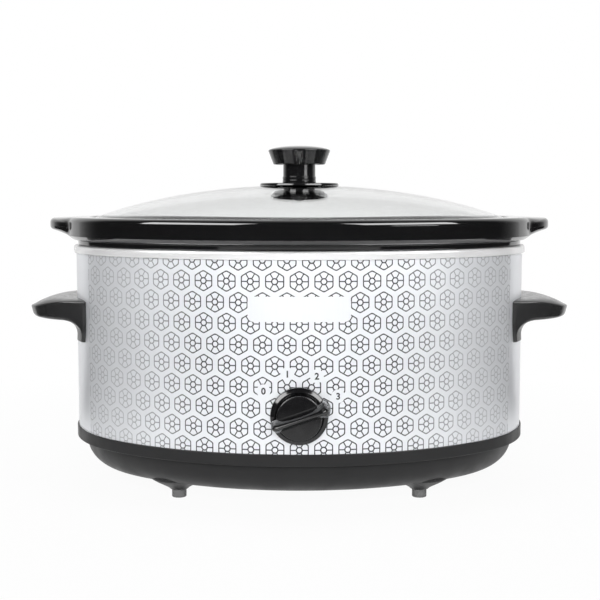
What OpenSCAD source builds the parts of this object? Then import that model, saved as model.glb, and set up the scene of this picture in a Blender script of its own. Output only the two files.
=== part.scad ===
// Oval slow cooker with a lift-out crock, a domed glass lid and a four-position control.
// Every shell follows one oval outline of four tangent arcs. A profile point is [offset, height]:
// the offset is measured outwards from the outer face of the wall, the height from the table.

/* [Body] */
// Length of the housing over its outer wall
body_length = 358; // [340:1:400]
// Depth of the housing over its outer wall
body_depth = 276; // [264:1:300]
// Half of the angle that each end arc of the oval spans
joint_angle = 50.5; // [49:0.5:52]
// Height of the top of the rim ring above the table
body_height = 189.7; // [184:0.1:212]
// Thickness of the sheet-steel outer wall
wall_sheet = 0.8; // [0.6:0.1:1.2]

/* [Rim ring] */
// How far the rim ring stands out from the wall
ring_proud = 2; // [1.2:0.1:3]
// Height of the rim ring's outer face
ring_drop = 6; // [4:0.5:9]
// Thickness of the rim ring's top
ring_thickness = 1.5; // [1:0.1:2]
// Width of the rim ring's seat, from the wall inwards
ring_seat = 8; // [6:0.5:9]

/* [Heating well] */
// Thickness of the aluminium well
well_sheet = 0.8; // [0.6:0.1:1.2]
// Inset of the well's wall at the rim
well_inset = 9.2; // [8.5:0.1:10.5]
// Extra inset of the well's wall at its floor
well_taper = 17; // [14:0.5:19]
// Height of the well's floor above the top of the base
well_rise = 9; // [6:0.5:14]
// Corner radius between the well's wall and floor
well_corner = 13; // [8:1:16]

/* [Heater] */
// Height of the bottom of the heater band above the well's floor
heater_rise = 39; // [34:1:48]
// Height of the heater band
heater_height = 44; // [36:1:54]
// Thickness of the heater band
heater_thickness = 2.4; // [1.5:0.1:3]
// Height of the clamp strap round the band
strap_height = 12; // [8:1:16]
// Half of the gap between the heater band's ends
heater_gap = 7; // [5:0.5:9]

/* [Base] */
// Height of the top of the base above the table
base_height = 46.2; // [44:0.1:54]
// Height of the upright skirt round the top of the base
skirt_height = 10.5; // [9:0.5:14]
// How far the skirt stands out from the wall
skirt_proud = 1.2; // [1:0.1:3]
// Depth of the groove that the outer wall stands in
groove_depth = 5; // [3:0.5:6]
// Clear height under the base
base_clearance = 13.4; // [12:0.1:18]
// Thickness of the moulded base
base_wall = 3; // [2:0.1:3.5]
// Step inwards under the skirt
bowl_step = 6.5; // [5:0.5:9]
// Width of the curved side of the bowl
bowl_curve = 23; // [20:1:32]

/* [Feet] */
// Distance between the feet along the length
foot_span_x = 183; // [160:1:200]
// Distance between the feet across the depth
foot_span_y = 150; // [130:1:160]
// Radius of a rubber foot
foot_radius = 5.5; // [4:0.1:8]
// Height of the rubber foot that shows
foot_height = 6.4; // [4:0.1:8]
// Radius of the foot boss where it meets the base
boss_radius = 18; // [15:0.5:22]

/* [Handles] */
// Reach of a side handle from the wall
handle_reach = 38; // [30:1:48]
// Radius of the handle's rounded plan
handle_round = 58; // [50:1:64]
// Height of the top of the handle above the table
handle_top = 146.7; // [130:0.1:160]
// Thickness of the handle's shelf
handle_depth = 14.5; // [12:0.5:18]
// Height of the legs at the handle's two ends
handle_leg = 31; // [26:0.5:40]
// Thickness of the handle's moulded skin
handle_skin = 3; // [2.5:0.1:4]

/* [Control] */
// Height of the control's axis above the top of the base
control_rise = 28; // [24:0.1:34]
// Radius of the knob's skirt
knob_radius = 20.5; // [17:0.1:24]
// How far the knob stands out from the wall
knob_projection = 21; // [18:0.5:26]
// Angle of the knob's pointer from the +X side at rest
pointer_angle = 19; // [0:1:45]
// Radius of the switch's shaft
shaft_radius = 3; // [2.5:0.1:3.5]

/* [Crock] */
// Height of the crock's rim above the rim ring
crock_rise = 22; // [18:0.5:26]
// How far the crock's rim stands out from the wall
crock_proud = 6.5; // [5:0.5:9]
// Width of the crock's rim over its rounded top
crock_rim = 18.7; // [17:0.1:20]
// Depth of the ledge that the lid stands on, below the rim
ledge_drop = 6; // [4:0.5:8]
// Width of that ledge
ledge_width = 8.8; // [8:0.2:11]
// Thickness of the crock's wall
crock_wall = 9; // [7:0.5:10]
// Thickness of the crock's floor
crock_floor = 9; // [7:0.5:12]
// Clear gap between the crock and the heating well
crock_gap = 2.5; // [2:0.1:3]
// Clear gap under the crock's floor
crock_floor_gap = 3.2; // [2:0.1:5]
// Reach of the crock's lifting lugs from the wall
lug_reach = 22; // [18:0.5:28]

/* [Lid] */
// Height of the glass dome above the crock's rim
dome_rise = 25.2; // [18:0.2:36]
// Thickness of the glass
glass = 4; // [3:0.2:5]
// Gap between the lid's edge and the crock's rim
lid_gap = 1.6; // [1.4:0.1:2]
// Radius of the lid knob's cap
cap_radius = 25; // [22:0.5:30]
// Height of the lid knob's cap
cap_height = 15.1; // [10:0.1:18]
// Radius of the lid knob's stem
stem_radius = 13; // [10:0.5:16]
// Height of the lid knob's stem
stem_height = 14.5; // [12:0.1:24]
// Radius of the disc under the stem
disc_radius = 32; // [28:0.5:40]

/* [Hidden] */
$fn = 72;

// The oval: two end arcs at (+-end_x, 0) and two side arcs at (0, +-side_y), tangent where they meet.
half_length = body_length / 2;
half_depth = body_depth / 2;
centre_distance = (half_length - half_depth) / (cos(joint_angle) + sin(joint_angle) - 1);
end_x = centre_distance * cos(joint_angle);
side_y = centre_distance * sin(joint_angle);
end_radius = half_length - end_x;
side_radius = end_radius + centre_distance;
core_offset = -60;
// The row's origin is under the middle of the whole cooker, which the knob carries forwards.
oval_y = (knob_projection - crock_proud) / 2;

// Heights
bowl_top = base_height - skirt_height;
groove_floor = base_height - groove_depth;
control_height = base_height + control_rise;
ring_under = body_height - ring_thickness;
wall_top = ring_under - well_sheet;
well_floor = base_height + well_rise;
crock_under = well_floor + well_sheet + crock_floor_gap;
crock_inside = crock_under + crock_floor;
crock_top = body_height + crock_rise;
ledge = crock_top - ledge_drop;
column_top = groove_floor + 1;
shield_z = column_top;
bracket_sheet = 1.2;
shield_sheet = 0.8;
heater_bottom = well_floor + heater_rise;
heater_top = heater_bottom + heater_height;
glass_top = crock_top + dome_rise;

// Clearances
seat_gap = 0.1;
screw_gap = 0.05;
hole_gap = 0.4;

// Offsets of the well's outer face and the crock's outer face at a height
function well_offset(z) = -well_inset - well_taper * (ring_under - z) / (ring_under - well_floor);
function crock_offset(z) = well_offset(z) - well_sheet - crock_gap;
// Offset of the lid's edge and half sizes of the lid
rim_inner = crock_proud - crock_rim;
lid_offset = rim_inner - lid_gap;
lid_a = half_length + lid_offset;
lid_b = half_depth + lid_offset;

// Points of an arc in a profile
function arc(x, z, r, from, to, n = 6) =
  [for (i = [0:n]) let (a = from + (to - from) * i / n) [x + r * cos(a), z + r * sin(a)]];
// Points of an elliptical arc in a profile
function ellipse_arc(x, z, rx, rz, from, to, n = 8) =
  [for (i = [0:n]) let (a = from + (to - from) * i / n) [x + rx * cos(a), z + rz * sin(a)]];
// The part of a list from its last item to its first
function backwards(list) = [for (i = [len(list) - 1:-1:0]) list[i]];

// A move made as whole hundredths and then the rest, so that arcs meet to a millionth of a millimetre
module shift(v) {
  coarse = [for (x = v) round(x * 100) / 100];
  translate(coarse) translate(v - coarse) children();
}
// A closed profile carried round one end arc, and round the whole oval
module end_arc(profile) {
  shift([end_x, 0, 0])
    rotate_extrude(angle = 2 * joint_angle, start = -joint_angle)
      shift([end_radius, 0, 0]) polygon(profile);
}
module sweep(profile) {
  for (turn = [0, 180]) rotate([0, 0, turn]) {
    end_arc(profile);
    shift([0, -side_y, 0])
      rotate_extrude(angle = 180 - 2 * joint_angle, start = joint_angle)
        shift([side_radius, 0, 0]) polygon(profile);
  }
}

// The oval outline as a flat shape, and as a plate between two heights
module oval(offset) {
  joint_x = end_x + (end_radius + offset) * cos(joint_angle);
  for (side = [-1, 1]) translate([side * end_x, 0]) circle(r = end_radius + offset);
  intersection() {
    translate([0, -side_y]) circle(r = side_radius + offset);
    translate([0, side_y]) circle(r = side_radius + offset);
    square([2 * joint_x, 4 * half_depth], center = true);
  }
}
module oval_plate(offset, from, to) {
  translate([0, 0, from]) linear_extrude(to - from) oval(offset);
}

// A shell with a floor: the profile's two ends lie at the core, and a plate closes the middle
module pan(profile, floor_from, floor_to) {
  sweep(profile);
  oval_plate(core_offset + 1, floor_from, floor_to);
}

// Children on the front of the wall at the control, with +Z outwards and +Y up
module at_control() {
  translate([0, -half_depth, control_height]) rotate([90, 0, 0]) children();
}
// Children on the wall of an end arc at an angle, with +Z outwards
module at_end(angle, z) {
  translate([end_x, 0, z]) rotate([0, 0, angle]) translate([end_radius, 0, 0]) rotate([0, 90, 0]) children();
}
// Children at the four corners of a rectangle
module corners(x, y) {
  for (i = [-1, 1], j = [-1, 1]) translate([i * x, j * y, 0]) children();
}
// A pan-head screw whose head's underside is at the origin, with its shank along +Z
module screw(radius, length, head_radius, head_height) {
  cylinder(r = radius, h = length);
  translate([0, 0, -head_height]) difference() {
    cylinder(r = head_radius, h = head_height);
    for (a = [0, 90]) rotate([0, 0, a])
      translate([-head_radius * 0.6, -radius * 0.2, -0.1])
        cube([head_radius * 1.2, radius * 0.4, head_height * 0.5 + 0.1]);
  }
}

// Housing ------------------------------------------------------------

handle_screw_angle = 15;
handle_screw_drop = 8;
handle_screw_z = handle_top - handle_screw_drop;
handle_screw_radius = 2;
switch_screw_x = 12;
switch_screw_radius = 1.5;
bushing_radius = shaft_radius + 1.4;

module outer_wall() {
  color("gainsboro") difference() {
    sweep([[-wall_sheet, groove_floor], [0, groove_floor], [0, wall_top], [-wall_sheet, wall_top]]);
    at_control() {
      translate([0, 0, -5]) cylinder(r = bushing_radius + hole_gap, h = 10);
      for (side = [-1, 1]) translate([side * switch_screw_x, 0, -5])
        cylinder(r = switch_screw_radius + hole_gap, h = 10);
    }
    for (turn = [0, 180], side = [-1, 1]) rotate([0, 0, turn])
      at_end(side * handle_screw_angle, handle_screw_z) translate([0, 0, -5])
        cylinder(r = handle_screw_radius + hole_gap, h = 10);
  }
}

module rim_ring() {
  r = min(ring_proud, 2.2);
  color("whitesmoke") sweep(concat(
    [[seat_gap, body_height - ring_drop], [ring_proud, body_height - ring_drop]],
    arc(ring_proud - r, body_height - r, r, 0, 90),
    arc(-ring_seat + 0.7, body_height - 0.7, 0.7, 90, 180, 3),
    [[-ring_seat, ring_under], [seat_gap, ring_under]]));
}

// The pressed well: a flange that lies on the wall's top edge, a tapered wall and a floor
module heating_well() {
  bend = 2;
  top = ring_under;
  corner_z = well_floor + well_corner;
  corner_x = well_offset(corner_z) - well_corner;
  color("silver") pan(concat(
    [[core_offset, well_floor]],
    arc(corner_x, corner_z, well_corner, -90, 0),
    [[well_offset(top - bend), top - bend], [-well_inset + 0.6, wall_top],
      [0, wall_top], [0, top], [-well_inset + 0.2, top], [well_offset(top - bend) - well_sheet, top - bend]],
    backwards(arc(corner_x, corner_z, well_corner - well_sheet, -90, 0)),
    [[core_offset, well_floor + well_sheet]]), well_floor, well_floor + well_sheet);
}

// A slanted strip that lies against the well's outer face
function strip(from, to, low, high) = [[well_offset(low) + from, low], [well_offset(low) + to, low],
  [well_offset(high) + to, high], [well_offset(high) + from, high]];
heater_lift = 0.1;
heater_face = heater_lift + heater_thickness;
strap_sheet = 0.7;
strap_low = (heater_bottom + heater_top - strap_height) / 2;
strap_high = strap_low + strap_height;
strap_from = heater_face + 0.05;

module heater_band() {
  color("burlywood") difference() {
    sweep(strip(heater_lift, heater_face, heater_bottom, heater_top));
    translate([-heater_gap, 0, 0]) cube([2 * heater_gap, body_depth, body_height]);
  }
}

// Where the clamp's ears and bolt lie behind the well
ear_z = (strap_low + strap_high) / 2;
ear_y = half_depth + well_offset(ear_z) + strap_from;
ear_reach = 9;
clamp_bolt_radius = 1.6;

module heater_clamp() {
  color("lightgray") difference() {
    union() {
      difference() {
        sweep(strip(strap_from, strap_from + strap_sheet, strap_low, strap_high));
        translate([-heater_gap, 0, 0]) cube([2 * heater_gap, body_depth, body_height]);
      }
      for (side = [0, 1]) mirror([side, 0, 0]) intersection() {
        translate([heater_gap, ear_y - 1, strap_low]) cube([1, ear_reach + 1, strap_height]);
        sweep(strip(strap_from, strap_from + ear_reach, strap_low, strap_high));
      }
    }
    translate([-50, ear_y + ear_reach - 3.5, ear_z]) rotate([0, 90, 0]) cylinder(r = clamp_bolt_radius + 0.2, h = 100);
  }
}

module clamp_bolt() {
  color("dimgray") translate([heater_gap + 1.1, ear_y + ear_reach - 3.5, ear_z]) rotate([0, -90, 0]) {
    screw(clamp_bolt_radius, 2 * heater_gap + 6, 3, 2.2);
    translate([0, 0, 2 * heater_gap + 2.2]) cylinder(r = 3.2, h = 2.4, $fn = 6);
  }
}

// Tabs riveted to the heater band, left and right of its gap
terminal_x = 22;
terminal_low = heater_bottom - 9;
tab_sheet = 0.8;
tab_width = 6;

module heater_terminals() {
  color("goldenrod") for (side = [-1, 1]) intersection() {
    sweep(strip(heater_face + 0.05, heater_face + 0.05 + tab_sheet, terminal_low, strap_low - 1));
    translate([side * terminal_x - tab_width / 2, 0, 0]) cube([tab_width, body_depth, body_height]);
  }
}

// The thermal fuse lies along the well's rear face, under the heater band's left end
fuse_radius = 2.2;
fuse_length = 16;
fuse_wire = 4;
fuse_x = -terminal_x - 14;
fuse_z = well_floor + 22;
fuse_gap = 1.4;
clip_sheet = 0.7;
clip_width = 6;
// A point behind the well, at a gap from its outer face
function behind_well(x, z, gap) = [x, sqrt((side_radius + well_offset(z) + gap) ^ 2 - x ^ 2) - side_y, z];
fuse_middle = behind_well(fuse_x, fuse_z, fuse_gap + fuse_radius);
fuse_tilt = -asin(fuse_x / (side_radius + well_offset(fuse_z)));
module at_fuse() {
  translate(fuse_middle) rotate([0, 0, fuse_tilt]) children();
}

module thermal_fuse() {
  color("white") at_fuse() rotate([0, 90, 0]) translate([0, 0, -fuse_length / 2]) {
    cylinder(r = fuse_radius, h = fuse_length);
    translate([0, 0, -fuse_wire]) cylinder(r = 0.6, h = fuse_length + 2 * fuse_wire);
  }
}

module fuse_clip() {
  color("lightgray") difference() {
    union() {
      at_fuse() rotate([0, 90, 0]) translate([0, 0, -clip_width / 2])
        cylinder(r = fuse_radius + clip_sheet, h = clip_width);
      intersection() {
        sweep(strip(heater_lift, heater_lift + clip_sheet + 0.4, fuse_z - 1, heater_bottom - 2));
        at_fuse() translate([-clip_width / 2, -20, -body_height]) cube([clip_width, 40, 2 * body_height]);
      }
    }
    at_fuse() rotate([0, 90, 0]) translate([0, 0, -clip_width]) cylinder(r = fuse_radius + screw_gap, h = 2 * clip_width);
  }
}

// Base ---------------------------------------------------------------

bowl_x = -bowl_step - bowl_curve;
bowl_drop = bowl_top - base_clearance;
column_x = half_length - 84;
column_y = 34;
column_radius = 6;
base_screw_radius = 2;
base_screw_head = 4;
column_web = 6;
gland_rise = 0.85;
gland_z = (base_clearance + bowl_top) / 2 + gland_rise;
gland_radius = 5;
gland_bore = 3.75;
gland_face = -5;
gland_boss_radius = 9;
block_length = 26;
block_width = 15;
block_height = 12;
block_pitch = 6.5;
block_screw_radius = 1.8;
block_inset = 62;
block_y = half_depth - block_inset;

function bowl_curve_points(skin) =
  ellipse_arc(bowl_x, bowl_top, bowl_curve - skin, bowl_drop - skin, -90, 0);

module foot_boss() {
  rotate_extrude() polygon([[0, foot_height], [foot_radius + 1.2, foot_height],
    [foot_radius + 3, foot_height + 1.6], [boss_radius, base_clearance],
    [boss_radius + 9, base_clearance + 6.5], [0, base_clearance + 6.5]]);
}

module base_shell() {
  color("#2a2a2a") difference() {
    union() {
      pan(concat([[core_offset, base_clearance]], bowl_curve_points(0),
        [[skirt_proud, bowl_top], [skirt_proud, base_height], [seat_gap, base_height],
          [seat_gap, groove_floor], [-wall_sheet - seat_gap, groove_floor],
          [-wall_sheet - seat_gap, base_height - 1], [-wall_sheet - 1.8, base_height - 1],
          [-wall_sheet - 1.8, bowl_top + base_wall], [-bowl_step - base_wall, bowl_top + base_wall]],
        backwards(bowl_curve_points(base_wall)),
        [[core_offset, base_clearance + base_wall]]), base_clearance, base_clearance + base_wall);
      difference() {
        corners(foot_span_x / 2, foot_span_y / 2) foot_boss();
        pan(concat([[core_offset, base_clearance + base_wall / 2]], bowl_curve_points(base_wall / 2),
          [[-bowl_step - base_wall / 2, base_height], [core_offset, base_height]]),
          base_clearance + base_wall / 2, base_height);
      }
      corners(column_x, column_y) translate([0, 0, base_clearance])
        cylinder(r = column_radius, h = column_top - base_clearance);
      translate([0, half_depth + gland_face, gland_z]) rotate([90, 0, 0]) cylinder(r = gland_boss_radius, h = 16);
    }
    corners(foot_span_x / 2, foot_span_y / 2) translate([0, 0, foot_height - 1]) cylinder(r = 3 + screw_gap, h = 8);
    corners(column_x, column_y) {
      translate([0, 0, base_clearance - 1]) cylinder(r = base_screw_head + 0.6, h = column_top + 1 - base_clearance - column_web);
      translate([0, 0, base_clearance]) cylinder(r = base_screw_radius + hole_gap, h = base_height);
    }
    translate([0, half_depth, gland_z]) rotate([90, 0, 0]) cylinder(r = gland_radius + seat_gap, h = 40);
    for (side = [-1, 1], i = [-3:3]) translate([side * 42, i * 9, base_clearance - 1])
      linear_extrude(base_wall + 2) {
        square([30, 3], center = true);
        for (tip = [-1, 1]) translate([tip * 15, 0]) circle(r = 1.5);
      }
  }
}

module foot(x, y) {
  color("dimgray") translate([x * foot_span_x / 2, y * foot_span_y / 2, 0]) {
    difference() {
      cylinder(r = foot_radius, h = foot_height);
      translate([0, 0, -1]) cylinder(r = foot_radius * 0.4, h = 2);
    }
    translate([0, 0, foot_height]) cylinder(r = 3, h = 6.5);
  }
}

module heat_shield() {
  color("lightgray") difference() {
    oval_plate(-32, shield_z, shield_z + shield_sheet);
    corners(column_x, column_y) translate([0, 0, shield_z - 1]) cylinder(r = base_screw_radius + hole_gap, h = 4);
  }
}

// A hat-section strip under the well, which the base is screwed to
bracket_half_width = 7;
bracket_flange = 8;
bracket_end = 8;
module well_bracket() {
  low = shield_z + shield_sheet;
  inner = bracket_half_width - bracket_sheet;
  tip = bracket_half_width + bracket_flange;
  half = [[bracket_half_width, low], [bracket_half_width + bracket_sheet, well_floor - bracket_sheet],
    [tip, well_floor - bracket_sheet], [tip, well_floor], [bracket_half_width, well_floor], [inner, low + bracket_sheet]];
  color("silver") difference() {
    translate([column_x, 0, 0]) rotate([90, 0, 0]) translate([0, 0, -column_y - bracket_end])
      linear_extrude(2 * (column_y + bracket_end)) polygon(concat(half, backwards([for (p = half) [-p[0], p[1]]])));
    corners(column_x, column_y) translate([0, 0, low - 1]) cylinder(r = base_screw_radius + screw_gap, h = 4);
  }
}

module base_screws() {
  color("dimgray") corners(column_x, column_y)
    translate([0, 0, column_top - column_web])
      screw(base_screw_radius, column_web + shield_sheet + bracket_sheet + 3, base_screw_head, 2.4);
}

module terminal_block() {
  color("ivory") translate([0, block_y, base_clearance + base_wall]) difference() {
    translate([-block_length / 2, -block_width / 2, 0]) cube([block_length, block_width, block_height]);
    for (side = [-1, 1]) translate([side * block_pitch, 0, 0]) {
      translate([0, -block_width, block_height / 2]) rotate([-90, 0, 0]) cylinder(r = 2.2, h = 2 * block_width);
      translate([0, 0, block_height / 2]) cylinder(r = block_screw_radius + screw_gap, h = block_height);
    }
    translate([-1, -block_width, block_height - 3]) cube([2, 2 * block_width, 4]);
  }
}

module terminal_screws() {
  color("goldenrod") for (side = [-1, 1])
    translate([side * block_pitch, block_y, base_clearance + base_wall + block_height - 0.5]) rotate([180, 0, 0]) difference() {
      cylinder(r = block_screw_radius, h = 4.4);
      translate([-2, -0.3, -0.1]) cube([4, 0.6, 1]);
    }
}

// A bush that the supply cord would pass through
module cord_gland() {
  color("#1c1c1c") translate([0, half_depth + gland_face, gland_z]) rotate([90, 0, 0]) difference() {
    union() {
      translate([0, 0, -2]) cylinder(r = gland_radius + 2.5, h = 2);
      translate([0, 0, -6]) cylinder(r1 = gland_radius, r2 = gland_radius + 1, h = 4);
      cylinder(r = gland_radius, h = 16);
      translate([0, 0, 16]) cylinder(r1 = gland_radius + 0.8, r2 = gland_radius, h = 2);
    }
    translate([0, 0, -7]) cylinder(r = gland_bore, h = 26);
  }
}

// Side handles -------------------------------------------------------

handle_low = handle_top - handle_depth;
handle_foot = handle_top - handle_leg;
handle_arch = handle_foot + 9;
plate_thickness = 1.8;
handle_fillet = 11;
leg_width = 15;
screw_depth = 12;
rib = 2;
rib_spacing = 15;

module handle_plan(inset) {
  translate([half_length + handle_reach - handle_round, 0]) circle(r = handle_round - inset);
}
// The shelf's side view: its two ends along X, and its crowned top as [distance along X, height]
shelf_root = half_length - 25;
shelf_tip = half_length + handle_reach;
function shelf_crown(tip, top) = concat([[tip - 0.2, top - 8.3], [tip - 1.5, top - 7]],
  [for (i = [5:-1:0]) let (u = i / 5) [half_length + (tip - 3 - half_length) * u, top - 6.2 * u ^ 2.2]],
  [[shelf_root, top]]);
module side_profile(points) {
  translate([0, 2 * handle_round, 0]) rotate([90, 0, 0]) linear_extrude(4 * handle_round) polygon(points);
}
module shelf() {
  intersection() {
    side_profile(concat([[shelf_root, handle_low]], arc(shelf_tip - 6, handle_low + 6, 6, -90, 0, 5),
      shelf_crown(shelf_tip, handle_top)));
    linear_extrude(2 * handle_top) handle_plan(0);
  }
}
// The hollow under the shelf, open downwards between the skin and the ribs
module shelf_hollow() {
  low = handle_low - 1;
  intersection() {
    side_profile(concat([[shelf_root, low], [shelf_tip, low]], shelf_crown(shelf_tip - handle_skin, handle_top - handle_skin)));
    linear_extrude(2 * handle_top) difference() {
      handle_plan(handle_skin);
      translate([end_x, 0]) circle(r = end_radius + screw_depth + handle_skin);
      for (y = [-2:2]) translate([half_length, y * rib_spacing - rib / 2]) square([handle_reach, rib]);
    }
  }
}
// The plate behind the shelf, seen from outside: a leg at each end and an arch between them
module plate_outline() {
  side = handle_round - 1;
  half = concat([[side, handle_top - 0.4], [side, handle_low - 2]],
    [for (i = [1:4]) let (u = i / 4) [side - 3 * u ^ 2, handle_low - 2 - (handle_leg - handle_depth - 3.5) * u]],
    [[side - 4.2, handle_foot], [side - leg_width + 5, handle_foot]],
    [for (i = [0:4]) let (a = i * 22.5) [side - leg_width - 5 + 10 * cos(a), handle_foot + (handle_arch - handle_foot) * sin(a)]]);
  translate([half_length - 40, 0, 0]) rotate([90, 0, 90]) linear_extrude(80)
    polygon(concat(half, backwards([for (p = half) [-p[0], p[1]]])));
}
module back_plate() {
  top = plate_thickness + handle_fillet;
  intersection() {
    end_arc(concat([[-10, handle_foot - 1], [plate_thickness, handle_foot - 1]],
      backwards(arc(top, handle_low - handle_fillet, handle_fillet, 90, 180, 5)),
      [[top, handle_low + 0.5], [plate_thickness, handle_top], [-10, handle_top]]));
    linear_extrude(2 * handle_top) handle_plan(0);
    plate_outline();
  }
}

module handle() {
  color("#1e1e1e") difference() {
    union() {
      shelf();
      back_plate();
    }
    shelf_hollow();
    translate([end_x, 0, 0]) cylinder(r = end_radius + seat_gap, h = 2 * handle_top);
    for (side = [-1, 1]) at_end(side * handle_screw_angle, handle_screw_z)
      cylinder(r = handle_screw_radius + screw_gap, h = screw_depth);
  }
}

module handle_screws() {
  color("silver") for (turn = [0, 180], side = [-1, 1]) rotate([0, 0, turn])
    at_end(side * handle_screw_angle, handle_screw_z) translate([0, 0, -wall_sheet - 0.2])
      screw(handle_screw_radius, screw_depth - 1, 4, 2.2);
}

// Control ------------------------------------------------------------

switch_half_width = 17;
switch_half_height = 14;
switch_front = -1.8;
switch_back = -15;
switch_skin = 2;
cover_thickness = 1.8;
contact_x = 9;
contact_z = -11.9;
tab_drop = 8;

module switch_body() {
  color("#d9d2c0") at_control() difference() {
    union() {
      translate([-switch_half_width, -switch_half_height, switch_back])
        cube([2 * switch_half_width, 2 * switch_half_height, switch_front - switch_back]);
      translate([0, 0, switch_front - 1]) cylinder(r = bushing_radius, h = 3.6);
      for (side = [-1, 1]) translate([side * switch_screw_x, 0, switch_front - 0.1]) cylinder(r = 3.2, h = 0.5);
    }
    translate([-switch_half_width + switch_skin, -switch_half_height + switch_skin, switch_back - 1])
      difference() {
        cube([2 * (switch_half_width - switch_skin), 2 * (switch_half_height - switch_skin),
          switch_front - switch_back - switch_skin + 1]);
        for (side = [-1, 1])
          translate([switch_half_width - switch_skin + side * (switch_screw_x + 1.5), switch_half_height - switch_skin,
            cover_thickness + 1.5]) cylinder(r = 2.8, h = 20);
      }
    translate([0, 0, -20]) cylinder(r = shaft_radius + screw_gap, h = 25);
    for (side = [-1, 1]) translate([side * switch_screw_x, 0, -9]) cylinder(r = switch_screw_radius + screw_gap, h = 12);
    for (i = [-1:1]) translate([i * contact_x - 2.1, -switch_half_height - 1, contact_z - 0.1]) cube([4.2, 4, 1]);
  }
}

module switch_cover() {
  color("#c4bca8") at_control() difference() {
    translate([-switch_half_width + switch_skin + seat_gap, -switch_half_height + switch_skin + seat_gap, switch_back])
      cube([2 * (switch_half_width - switch_skin - seat_gap), 2 * (switch_half_height - switch_skin - seat_gap), cover_thickness]);
    translate([0, 0, switch_back - 1]) cylinder(r = shaft_radius - 1 + screw_gap, h = 4);
  }
}

module switch_screws() {
  color("silver") at_control() for (side = [-1, 1])
    translate([side * switch_screw_x, 0, -0.1]) rotate([180, 0, 0]) screw(switch_screw_radius, 7, 2.8, 1.8);
}

module switch_contacts() {
  color("goldenrod") at_control() for (i = [-1:1])
    translate([i * contact_x - 2, -switch_half_height - tab_drop, contact_z]) cube([4, tab_drop + 11 - abs(i) * 4, tab_sheet]);
}

// The rotor, shaft, knob and spring turn together
module switch_rotor() {
  color("#e8e2d0") at_control() rotate([0, 0, pointer_angle]) difference() {
    union() {
      translate([0, 0, -9.6]) cylinder(r = 8.6, h = 4.6);
      translate([0, -2, -9.6]) cube([8.8, 4, 4.6]);
    }
    translate([0, 0, -12]) cylinder(r = shaft_radius + 0.02, h = 10);
    for (a = [90, 150, 210, 270]) rotate([0, 0, a]) translate([7, 0, -10.6]) cylinder(r = 1, h = 2);
  }
}

flat_depth = 1;
flat_start = 3;
shaft_reach = 14;
spring_sheet = 0.5;
spring_room = 0.9;
module switch_shaft() {
  color("silver") at_control() rotate([0, 0, pointer_angle]) difference() {
    union() {
      translate([0, 0, switch_back + cover_thickness])
        cylinder(r = shaft_radius, h = shaft_reach - switch_back - cover_thickness);
      translate([0, 0, switch_back + 0.2]) cylinder(r = shaft_radius - 1, h = 2);
    }
    translate([-5, shaft_radius - flat_depth, flat_start]) cube([10, 5, shaft_reach]);
  }
}

// The knob: a skirt, a crowned hub and a grip bar that runs past the skirt as the pointer
knob_back = 1.2;
knob_shoulder = 7.5;
hub_radius = knob_radius - 3.4;
bar_half_width = 4.6;
module control_knob() {
  front = knob_projection;
  color("#141414") at_control() rotate([0, 0, pointer_angle]) difference() {
    union() {
      rotate_extrude() polygon(concat([[0, knob_back], [knob_radius, knob_back]],
        arc(knob_radius - 1.6, knob_shoulder - 1.6, 1.6, 0, 60, 3),
        [[hub_radius, knob_shoulder + 0.2]],
        arc(hub_radius - 4, front - 11.5, 4, 15, 80, 5), [[0, front - 7]]));
      intersection() {
        linear_extrude(front) polygon([[-knob_radius + 1.7, -bar_half_width], [knob_radius - 1.5, -bar_half_width - 0.6],
          [knob_radius + 2.6, -1.2], [knob_radius + 2.6, 1.2], [knob_radius - 1.5, bar_half_width + 0.6],
          [-knob_radius + 1.7, bar_half_width], [-knob_radius + 0.2, bar_half_width - 2], [-knob_radius + 0.2, -bar_half_width + 2]]);
        translate([0, 10, 0]) rotate([90, 0, 0]) linear_extrude(20) polygon(concat(
          [[-knob_radius, knob_back], [knob_radius + 3, knob_back], [knob_radius + 3, knob_shoulder]],
          arc(knob_radius - 5, front - 6, 6, 10, 90), backwards(arc(-knob_radius + 5, front - 5, 5, 180, 90))));
      }
    }
    difference() {
      cylinder(r = knob_radius - 2.2, h = knob_shoulder - 2);
      cylinder(r = shaft_radius + 3, h = knob_shoulder);
    }
    difference() {
      cylinder(r = shaft_radius + screw_gap, h = shaft_reach + 0.5);
      translate([-5, shaft_radius - flat_depth + spring_room, flat_start + 0.3]) cube([10, 5, shaft_reach]);
    }
  }
}

module knob_spring() {
  color("lightgray") at_control() rotate([0, 0, pointer_angle])
    translate([-1.2, shaft_radius - flat_depth + 0.15, flat_start + 2]) cube([2.4, spring_sheet, 8]);
}

// Leads --------------------------------------------------------------

// A point on the oval at an offset, in the direction of an angle
function oval_point(offset, angle, z) = let (
    x = cos(angle), y = sin(angle),
    r = end_radius + offset, big = side_radius + offset,
    t = abs(x) * end_x + sqrt((x * end_x) ^ 2 - end_x ^ 2 + r ^ 2),
    on_end = atan2(abs(t * y), abs(t * x) - end_x) <= joint_angle,
    s = -abs(y) * side_y + sqrt((y * side_y) ^ 2 - side_y ^ 2 + big ^ 2))
  on_end ? [t * x, t * y, z] : [s * x, s * y, z];
// A smooth line through points, with some steps between each pair
function smooth(p, steps = 3) = concat([for (i = [0:len(p) - 2], j = [0:steps - 1]) let (
    t = j / steps,
    a = p[max(i - 1, 0)], b = p[i], c = p[i + 1], d = p[min(i + 2, len(p) - 1)])
  b + t / 2 * (c - a) + t ^ 2 * (a - 2.5 * b + 2 * c - d / 2) + t ^ 3 * (1.5 * (b - c) + (d - a) / 2)], [p[len(p) - 1]]);
function unit(v) = v / norm(v);
function tangent(p, i) = unit(p[min(i + 1, len(p) - 1)] - p[max(i - 1, 0)]);
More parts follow.
